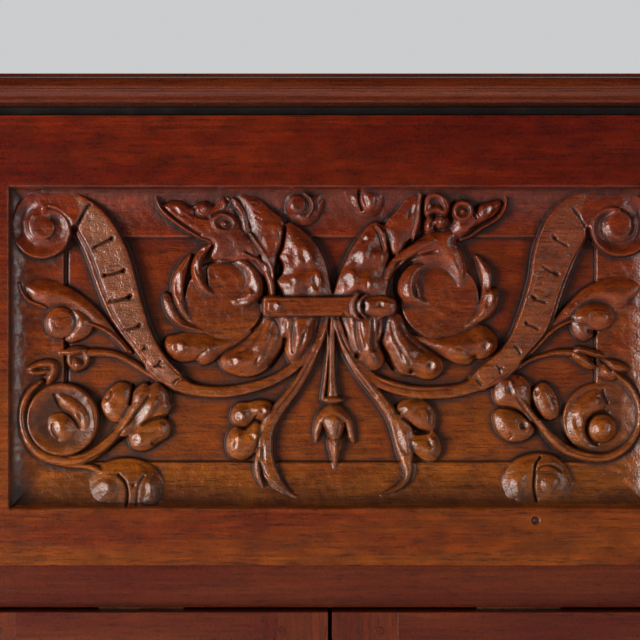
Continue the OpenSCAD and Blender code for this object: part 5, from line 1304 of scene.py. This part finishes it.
@dataclass
class CarvedFront:
    """The drawer's front: a thick board whose sunk panel is carved as a height map.

    The panel reaches half its width and height from its middle. The field is what the height map covers and
    the ground is the flat behind the carving, both as left, right, low and high. The facet is the
    smaller blur of the tools' marks, and marked is their depth on the ground and what forms add to it.
    Softened is the blur by wear. A plug closes an old hole in the border, given as x, z and radius. The
    field's rim, so many points wide, is level with the border.
    """
    board_node: bpy.types.Object
    finish: bpy.types.Material
    step: float = 0.55
    tiles: int = 5
    face_y: float = -170.0
    back_y: float = -143.5
    middle_z: float = 720.0
    half: tuple[float, float] = (225.0, 112.5)
    field_box: Box = (-229.0, 229.0, -127.3, 116.5)
    ground_box: Box = (-187.6, 187.6, -81.0, 77.35)
    sunk: float = 14.5
    cove_wide: float = 30.0
    cove_deep: float = 12.0
    facet: float = 1.75
    marked: tuple[float, float] = (0.02, 0.08)
    softened: float = 0.28
    plug: Point = (144.0, -121.0, 3.0)
    rim: int = 3

    def ground(self) -> Relief:
        """The sunk panel before its forms: coves along its sides down to a flat ground a little deeper.

        Returns:
            The relief, with a fine groove along each side of its ground.
        """
        left, right, low, high = self.field_box
        x = np.linspace(left, right, round((right - left) / self.step) + 1)
        z = np.linspace(low, high, round((high - low) / self.step) + 1)
        px, pz = np.meshgrid(x, z)
        depth = np.minimum(self.cove(self.half[0] - np.abs(px)), self.cove(self.half[1] - np.abs(pz)))
        g_left, g_right, g_low, g_high = self.ground_box
        inside = np.minimum(np.minimum(px - g_left, g_right - px), np.minimum(pz - g_low, g_high - pz))
        panel = np.minimum(self.half[0] - np.abs(px), self.half[1] - np.abs(pz)) > 0
        depth = np.where((inside > 0) & panel, self.sunk, depth)
        height = self.sunk - depth
        relief = Relief(x, z, height, np.zeros(height.shape), np.zeros(height.shape))
        seam_left = g_left + 1.6
        seam_right = g_right - 0.4
        grooves = (
            Cut((seam_left, g_low, seam_left, 0, seam_left, g_high), depth=1.4, width=1.3, fade=0.02),
            Cut((seam_right, g_low, seam_right, 0, seam_right, g_high), depth=0.8, width=0.8, fade=0.02),
            Cut((g_left, g_high, 0, g_high, g_right, g_high), depth=0.9, width=0.7, fade=0.02),
            Cut((g_left, g_low, 0, g_low, g_right, g_low), depth=0.4, width=0.6, fade=0.02),
        )
        for groove in grooves:
            groove.carve(relief)
        return relief

    def cove(self, inward: Array) -> Array:
        """Depth of the cove, a quarter of an ellipse, at a distance in from the panel's edge."""
        share = np.clip(inward / self.cove_wide, 0, 1)
        return np.where(inward > 0, self.cove_deep * np.sqrt(1 - (1 - share) ** 2), 0.0)

    def on_panel(self, px: Array, pz: Array) -> Array:
        """1 on the sunk panel and 0 on the borders, eased over the panel's first 3 mm."""
        return eased(np.minimum(self.half[0] - np.abs(px), self.half[1] - np.abs(pz)) / 3)

    def carved(self) -> tuple[Relief, dict[str, Array]]:
        """Cuts every form, then leaves the tools' facets and the plug, and softens it all with wear.

        Returns:
            The relief, and by name how far each point is from 0 to 1 hollow, crest, worked and stippled.
        """
        relief = self.ground()
        for stroke in CARVING:
            stroke.carve(relief)
        px, pz = np.meshgrid(relief.x, relief.z)
        on_form = standing(relief.height, 0.2)
        facets = uneven(relief.height.shape, self.facet / self.step, 3)
        on_ground, more_on_form = self.marked
        relief.height += self.on_panel(px, pz) * facets * (on_ground + more_on_form * on_form)
        self.plugged(relief, px, pz)
        relief.height = np.minimum(blurred(relief.height, self.softened / self.step), self.sunk)
        inner = slice(self.rim, -self.rim)
        field = np.full(relief.height.shape, self.sunk)
        field[inner, inner] = relief.height[inner, inner]
        relief.height = field
        return relief, self.marks(relief, on_form)

    def plugged(self, relief: Relief, px: Array, pz: Array) -> None:
        """Sinks the plug by 0.5 mm, with a ring 1.2 mm deeper at 0.7 of its radius and dirt all over it.

        Args:
            relief: the carved board, which this changes.
            px: x of its points.
            pz: z of its points.
        """
        x, z, radius = self.plug
        soft = 0.9
        away = np.hypot(px - x, pz - z)
        ring = eased(1 - abs(away - 0.7 * radius) / soft)
        relief.height -= 0.5 * eased((radius - away) / soft) + 1.2 * ring
        relief.dark = np.maximum(relief.dark, eased((1.1 * radius - away) / soft))

    def marks(self, relief: Relief, on_form: Array) -> dict[str, Array]:
        """What each point of the relief is, from 0 to 1, for the finish.

        A point is hollow as far as it lies below the mean of what is near it, in a dark stroke, or in the
        dirt and painted shade of the left and the bottom cove, and a crest as far as it lies above that
        mean.
        Hollows are painted darker, for patina and for painted shade in the recesses.

        Args:
            relief: the whole carving.
            on_form: how far each point lies on a form, and not on the ground.

        Returns:
            By name, how hollow, crest, worked and stippled each point is.
        """
        px, pz = np.meshgrid(relief.x, relief.z)
        panel = self.on_panel(px, pz)
        near = blurred(relief.height, 1.5 / self.step)
        wide = blurred(relief.height, 3.5 / self.step)
        below = np.clip((near - relief.height) / 0.55, 0, 1)
        stroke = blurred(relief.dark, 0.8 / self.step)
        # Dirt and painted shade fade over 26 mm from the panel's left side, and over the width of the
        # bottom cove
        dirt_and_shade_left = 0.6 * eased(1 - (px + self.half[0]) / 26)
        dirt_and_shade_low = 0.8 * eased(1 - (pz + self.half[1]) / self.cove_wide)
        # Forms are left out of it, but for what reaches down into the bottom cove
        bare = 1 - on_form * (pz > -80)
        dirt_and_shade = np.where(relief.height < self.cove_deep, panel * (dirt_and_shade_left + dirt_and_shade_low), 0) * bare
        # The left cove's first 11 mm are little worked, and the next 20 mm more and more
        paler = 0.35 + 0.65 * eased((px + 214) / 20)
        # The hollow mark darkens the finish: patina, and painted shade in recesses, creases and coves
        hollow = np.maximum.reduce([(wide - relief.height) / 2.0, below, stroke, dirt_and_shade])
        return {"hollow": np.clip(hollow, 0, 1),
                "crest": np.clip((relief.height - near) / 0.8, 0, 1),
                "worked": panel * (0.55 + 0.45 * on_form) * paler,
                "stippled": blurred(relief.stippled, 0.8 / self.step)}

    def tile(self, number: int, relief: Relief, marks: dict[str, Array]) -> bpy.types.Object:
        """One upright strip of the carving, a closed slab behind its carved face.

        Args:
            number: the strip's place from the left.
            relief: the whole carving.
            marks: what each point is, by name, over the whole carving.

        Returns:
            The piece.
        """
        edges = np.linspace(0, len(relief.x) - 1, self.tiles + 1).round().astype(int)
        cols = slice(edges[number], edges[number + 1] + 1)
        wide = cols.stop - cols.start
        tall = len(relief.z)
        px, pz = np.meshgrid(relief.x[cols], relief.z)
        depth = self.sunk - relief.height[:, cols]
        face = np.column_stack([px.ravel(), (self.face_y + depth).ravel(), (self.middle_z + pz).ravel()])
        count = wide * tall
        numbers = np.arange(count).reshape(tall, wide)
        ring = np.concatenate([numbers[0, :-1], numbers[:-1, -1], numbers[-1, :0:-1], numbers[:0:-1, 0]])
        behind = face[ring]
        behind[:, 1] = self.back_y
        back = count + np.arange(len(ring))
        walls = np.column_stack([ring, back, np.roll(back, -1), np.roll(ring, -1)])
        faces = [grid_faces(tall, wide), walls, back[::-1][None, :]]
        piece = new_piece(f"carving_{number + 1}", np.vstack([face, behind]) * MM, faces, self.finish)
        slope_z, slope_x = np.gradient(relief.height, relief.z, relief.x)
        tilt = np.dstack([-slope_x[:, cols], -np.ones_like(px), -slope_z[:, cols]]).reshape(-1, 3)
        tilt /= np.linalg.norm(tilt, axis=1, keepdims=True)
        mesh = piece.data
        flat = np.zeros(len(mesh.loops) * 3)
        mesh.corner_normals.foreach_get("vector", flat)
        flat = flat.reshape(-1, 3)
        on_face = len(faces[0]) * 4
        flat[:on_face] = tilt[faces[0].ravel()]
        mesh.normals_split_custom_set(flat)
        for name, values in marks.items():
            kept = mesh.attributes.new(name, "FLOAT", "POINT")
            kept.data.foreach_set("value", np.concatenate([values[:, cols].ravel(), np.zeros(len(ring))]))
        return piece

    def board(self) -> bpy.types.Object:
        """The board round the carving: the joined front with a pocket where the carving sits.

        The joined front's face and its sunk faces go, and new faces lead from its rim to the pocket.

        Returns:
            The piece.
        """
        left, right, low, high = (side * MM for side in self.field_box)
        middle = self.middle_z * MM
        mesh = self.board_node.data.copy()
        mesh.name = "front_board"
        work = bmesh.new()
        work.from_mesh(mesh)
        bmesh.ops.remove_doubles(work, verts=work.verts, dist=SAME_PLACE)
        front = self.face_y * MM
        # The joined front's sunk faces lie before this, and its back faces behind it
        before = (self.back_y - 1.5) * MM
        reach = [side * MM + SAME_PLACE for side in self.half]
        gone = []
        for piece_face in work.faces:
            points = [vert.co for vert in piece_face.verts]
            sunk = all(abs(p.x) < reach[0] and abs(p.z - middle) < reach[1] and p.y < before
                       for p in points)
            if sunk or all(abs(p.y - front) < SAME_PLACE for p in points):
                gone.append(piece_face)
        bmesh.ops.delete(work, geom=gone, context="FACES")
        bmesh.ops.dissolve_limit(work, angle_limit=math.radians(0.5), verts=work.verts, edges=work.edges)
        corners = [(left, low), (right, low), (right, high), (left, high)]
        inner = [work.verts.new((x, front, middle + z)) for x, z in corners]
        deep = [work.verts.new((x, self.back_y * MM, middle + z)) for x, z in corners]
        outer = sorted((v for v in work.verts if v.is_boundary),
                       key=lambda v: math.atan2(v.co.z - middle, v.co.x))
        rim = [min(outer, key=lambda v: abs(v.co.x - sx) + abs(v.co.z - middle - sz))
               for sx, sz in ((-1, -1), (1, -1), (1, 1), (-1, 1))]
        log.info("board rim has %d points", len(outer))
        for i in range(4):
            j = (i + 1) % 4
            work.faces.new((rim[i], rim[j], inner[j], inner[i]))
            work.faces.new((inner[i], inner[j], deep[j], deep[i]))
        work.faces.new(deep)
        bmesh.ops.recalc_face_normals(work, faces=work.faces)
        work.to_mesh(mesh)
        work.free()
        mesh.materials.clear()
        mesh.materials.append(self.finish)
        piece = bpy.data.objects.new("front_board", mesh)
        bpy.context.scene.collection.objects.link(piece)
        return piece

    def build(self) -> None:
        """Makes the board and its carved strips, which stand for the joined front."""
        relief, marks = self.carved()
        strips = [self.tile(i, relief, marks) for i in range(self.tiles)]
        for piece in (*strips, self.board()):
            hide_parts("drawer_front")
            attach(piece, "drawer")
            log.info("%s: %d faces", piece.name, len(piece.data.polygons))


@dataclass
class Joinery:
    """The joined pieces kept as they are, with their arrises eased and their finish put on.

    Faces within one small angle of flat become one, and only arrises over the sharper angle are eased.
    """
    nodes: dict[str, bpy.types.Object]
    flat_within: float = math.radians(0.5)
    sharp_over: float = math.radians(40)

    def dress(self, names: tuple[str, ...], finish: bpy.types.Material, slot: str,
              round_by: float) -> None:
        """Rounds the sharp arrises of some pieces and gives them their finish.

        Args:
            names: the nodes.
            finish: their material.
            slot: a name for their material, which is only logged.
            round_by: width of the rounding in millimetres.
        """
        for name in names:
            piece = self.nodes[name]
            piece.data.materials.clear()
            piece.data.materials.append(finish)
            weld = piece.modifiers.new("weld", "WELD")
            weld.merge_threshold = SAME_PLACE
            flat = piece.modifiers.new("flat", "DECIMATE")
            flat.decimate_type = "DISSOLVE"
            flat.angle_limit = self.flat_within
            bevel = piece.modifiers.new("eased", "BEVEL")
            bevel.width = round_by * MM
            bevel.segments = 2
            bevel.limit_method = "ANGLE"
            bevel.angle_limit = self.sharp_over
            bevel.harden_normals = True
            log.info("%s: %s", name, slot)


@dataclass
class Carcase:
    """The frame of posts, rails and panels, with its top, its plinth and its feet."""
    joinery: Joinery
    varnish: dict[Grain, bpy.types.Material]
    bare: dict[Grain, bpy.types.Material]
    black: bpy.types.Material

    def build(self) -> None:
        """Dresses every piece of the carcase."""
        self.joinery.dress(("top_board", "plinth_rail", "mid_rail", "base_moulding"),
                           self.varnish[Grain.X], "carved_wood", 1.0)
        self.joinery.dress(("front_left_post", "front_right_post", "rear_left_post", "rear_right_post"),
                           self.varnish[Grain.Z], "carved_wood", 1.0)
        self.joinery.dress(("left_side_panels", "right_side_panels", "front_feet", "rear_feet"),
                           self.varnish[Grain.Z], "carved_wood", 0.5)
        self.joinery.dress(("left_side_rails", "right_side_rails", "frame_pegs"),
                           self.varnish[Grain.Y], "carved_wood", 0.5)
        self.joinery.dress(("ebonised_fillet",), self.black, "ebonised_wood", 0.8)
        self.joinery.dress(("top_rail", "back_rails", "bottom_board", "dust_panel", "shelf"),
                           self.bare[Grain.X], "plain_wood", 0.5)
        self.joinery.dress(("left_drawer_runner", "right_drawer_runner", "drawer_kickers", "drawer_stops",
                            "shelf_bearers", "bottom_cleats"), self.bare[Grain.Y], "plain_wood", 0.5)
        self.joinery.dress(("back_boards", "door_stops"), self.bare[Grain.Z], "plain_wood", 0.5)


@dataclass
class Drawer:
    """The drawer box behind its carved front."""
    joinery: Joinery
    bare: dict[Grain, bpy.types.Material]

    def build(self) -> None:
        """Dresses the box."""
        self.joinery.dress(("drawer_left_side", "drawer_right_side"), self.bare[Grain.Y], "plain_wood", 0.4)
        self.joinery.dress(("drawer_back", "drawer_bottom"), self.bare[Grain.X], "plain_wood", 0.4)


@dataclass
class Door:
    """One panelled door."""
    side: str
    joinery: Joinery
    varnish: dict[Grain, bpy.types.Material]

    def build(self) -> None:
        """Dresses the door's frame, panel and moulding."""
        stem = f"{self.side}_door"
        self.joinery.dress((f"{stem}_hinge_stile", f"{stem}_meeting_stile", f"{stem}_panel"),
                           self.varnish[Grain.Z], "carved_wood", 0.8)
        self.joinery.dress((f"{stem}_rails", f"{stem}_moulding"), self.varnish[Grain.X], "carved_wood", 0.5)
        self.joinery.dress((f"{stem}_pegs",), self.varnish[Grain.Y], "carved_wood", 0.2)


@dataclass
class Ironwork:
    """Hinges, screws, bolt, lock and key."""
    joinery: Joinery

    def build(self) -> None:
        """Dresses the brass and the iron."""
        brass = BRASS.material("old_brass")
        iron = IRON.material("dark_iron")
        self.joinery.dress(("frame_hinge_leaves", "hinge_pins", "frame_hinge_screws", "escutcheon",
                            "left_door_hinge_leaves", "left_door_screws", "right_door_hinge_leaves",
                            "right_door_screws", "lock_bolt"), brass, "brass", 0.2)
        self.joinery.dress(("bolt_plate", "lock_keep", "bolt_bar", "lock_case", "door_key"),
                           iron, "iron", 0.25)


@dataclass
class Studio:
    """The floor, the pale room, the lamps and the camera that looks straight at the carving.

    Places are in metres, and the lens is in millimetres on a sensor of the width given. The floor lies a
    small drop below the feet and reaches as far each way as given.
    """
    target: Point = (0.0, -0.17, 0.72)
    eye: Point = (-0.007, -1.77, 0.73925)
    lens: float = 128.57
    sensor: float = 36.0
    pale: Colour = (0.97, 0.98, 1.0)
    reach: float = 6.0
    drop: float = 0.0005

    def lamp(self, name: str, place: Point, size: tuple[float, float], power: float, tint: Colour,
             mirrored: bool = True) -> None:
        """Sets a soft rectangular lamp aimed at the carving.

        Args:
            name: the lamp's name.
            place: its middle.
            size: its width and its height.
            power: its watts.
            tint: its colour.
            mirrored: whether gloss mirrors it.
        """
        data = bpy.data.lights.new(name, "AREA")
        data.shape = "RECTANGLE"
        data.size, data.size_y = size
        data.energy = power
        data.color = tint
        lamp = bpy.data.objects.new(name, data)
        lamp.location = place
        lamp.rotation_euler = (lamp.location - Vector(self.target)).to_track_quat("Z", "Y").to_euler()
        lamp.visible_glossy = mirrored
        bpy.context.scene.collection.objects.link(lamp)

    def room(self) -> bpy.types.World:
        """A dim room, pale in pictures and in reflections of what lies behind the cupboard.

        Returns:
            The world.
        """
        shader = Shader(bpy.data.worlds.new("room"))
        way = shader.add("ShaderNodeTexCoord", {}, {}).outputs["Generated"]
        backwards = shader.add("ShaderNodeSeparateXYZ", {}, {0: way}).outputs["Y"]
        behind = shader.between(backwards, 0.05, 0.50, first=0.02, last=0.62)
        mirrored = shader.maths("MULTIPLY", shader.sight("Glossy", "Transmission"), behind)
        seen = shader.maths("MULTIPLY", shader.sight("Camera"), 0.62)
        level = shader.maths("MAXIMUM", shader.maths("ADD", seen, mirrored), 0.03)
        return shader.finished({"Color": (*self.pale, 1.0), "Strength": level}, "Background")

    def floor(self) -> None:
        """Lays a pale floor that glows a little in pictures, less in reflections, and keeps the shadow."""
        shader = Shader.named("pale_floor")
        cloud = shader.noise((6.0, 6.0, 6.0))
        colour = shader.mixed(shader.between(cloud, 0.3, 0.7), (0.76, 0.75, 0.735), (0.80, 0.79, 0.775))
        seen = shader.maths("MULTIPLY", shader.sight("Camera"), 0.58)
        mirrored = shader.maths("MULTIPLY", shader.sight("Glossy", "Transmission"), 0.2)
        pale = shader.finished({"Base Color": colour, "Roughness": 0.8, "Emission Color": (*self.pale, 1.0),
                                "Emission Strength": shader.maths("ADD", seen, mirrored)})
        px, py = np.meshgrid((-self.reach, self.reach), (-self.reach, self.reach))
        points = np.column_stack([px.ravel(), py.ravel(), np.full(4, -self.drop)])
        new_piece("floor", points, [np.array([[0, 1, 3, 2]])], pale)

    def camera(self) -> None:
        """Sets the camera straight before the carving."""
        data = bpy.data.cameras.new("camera")
        data.sensor_width = self.sensor
        data.lens = self.lens
        camera = bpy.data.objects.new("camera", data)
        camera.location = self.eye
        camera.rotation_euler = (math.radians(90), 0, 0)
        bpy.context.scene.collection.objects.link(camera)
        bpy.context.scene.camera = camera
        bpy.context.scene.view_settings.view_transform = "Standard"

    def build(self) -> None:
        """Sets the whole studio."""
        self.floor()
        self.lamp("key_lamp", (-1.85, -1.42, 0.42), size=(0.8, 1.0), power=56.0, tint=(1.0, 0.97, 0.93))
        self.lamp("right_lamp", (1.6, -1.5, 0.9), size=(0.5, 0.7), power=9.0, tint=(1.0, 0.97, 0.94))
        self.lamp("back_lamp", (-1.3, 2.5, 1.8), size=(1.0, 1.0), power=32.0, tint=(1.0, 0.98, 0.96),
                  mirrored=False)
        bpy.context.scene.world = self.room()
        self.camera()


def main() -> None:
    """Builds the dressed cupboard in order."""
    logging.basicConfig(level=logging.INFO, format="%(message)s")
    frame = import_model()
    varnish = {grain: Varnish().material(f"varnish_{grain.name.lower()}", grain) for grain in Grain}
    bare = {grain: BareWood().material(f"bare_wood_{grain.name.lower()}", grain) for grain in Grain}
    black = Ebonised().material("ebonised", Grain.X)
    joinery = Joinery(frame["nodes"])
    carved = Varnish().material("varnish_carved", Grain.X, True)
    CarvedFront(frame["nodes"]["drawer_front"], carved).build()
    Carcase(joinery, varnish, bare, black).build()
    Drawer(joinery, bare).build()
    Door("left", joinery, varnish).build()
    Door("right", joinery, varnish).build()
    Ironwork(joinery).build()
    Studio().build()


if __name__ == "__main__":
    main()
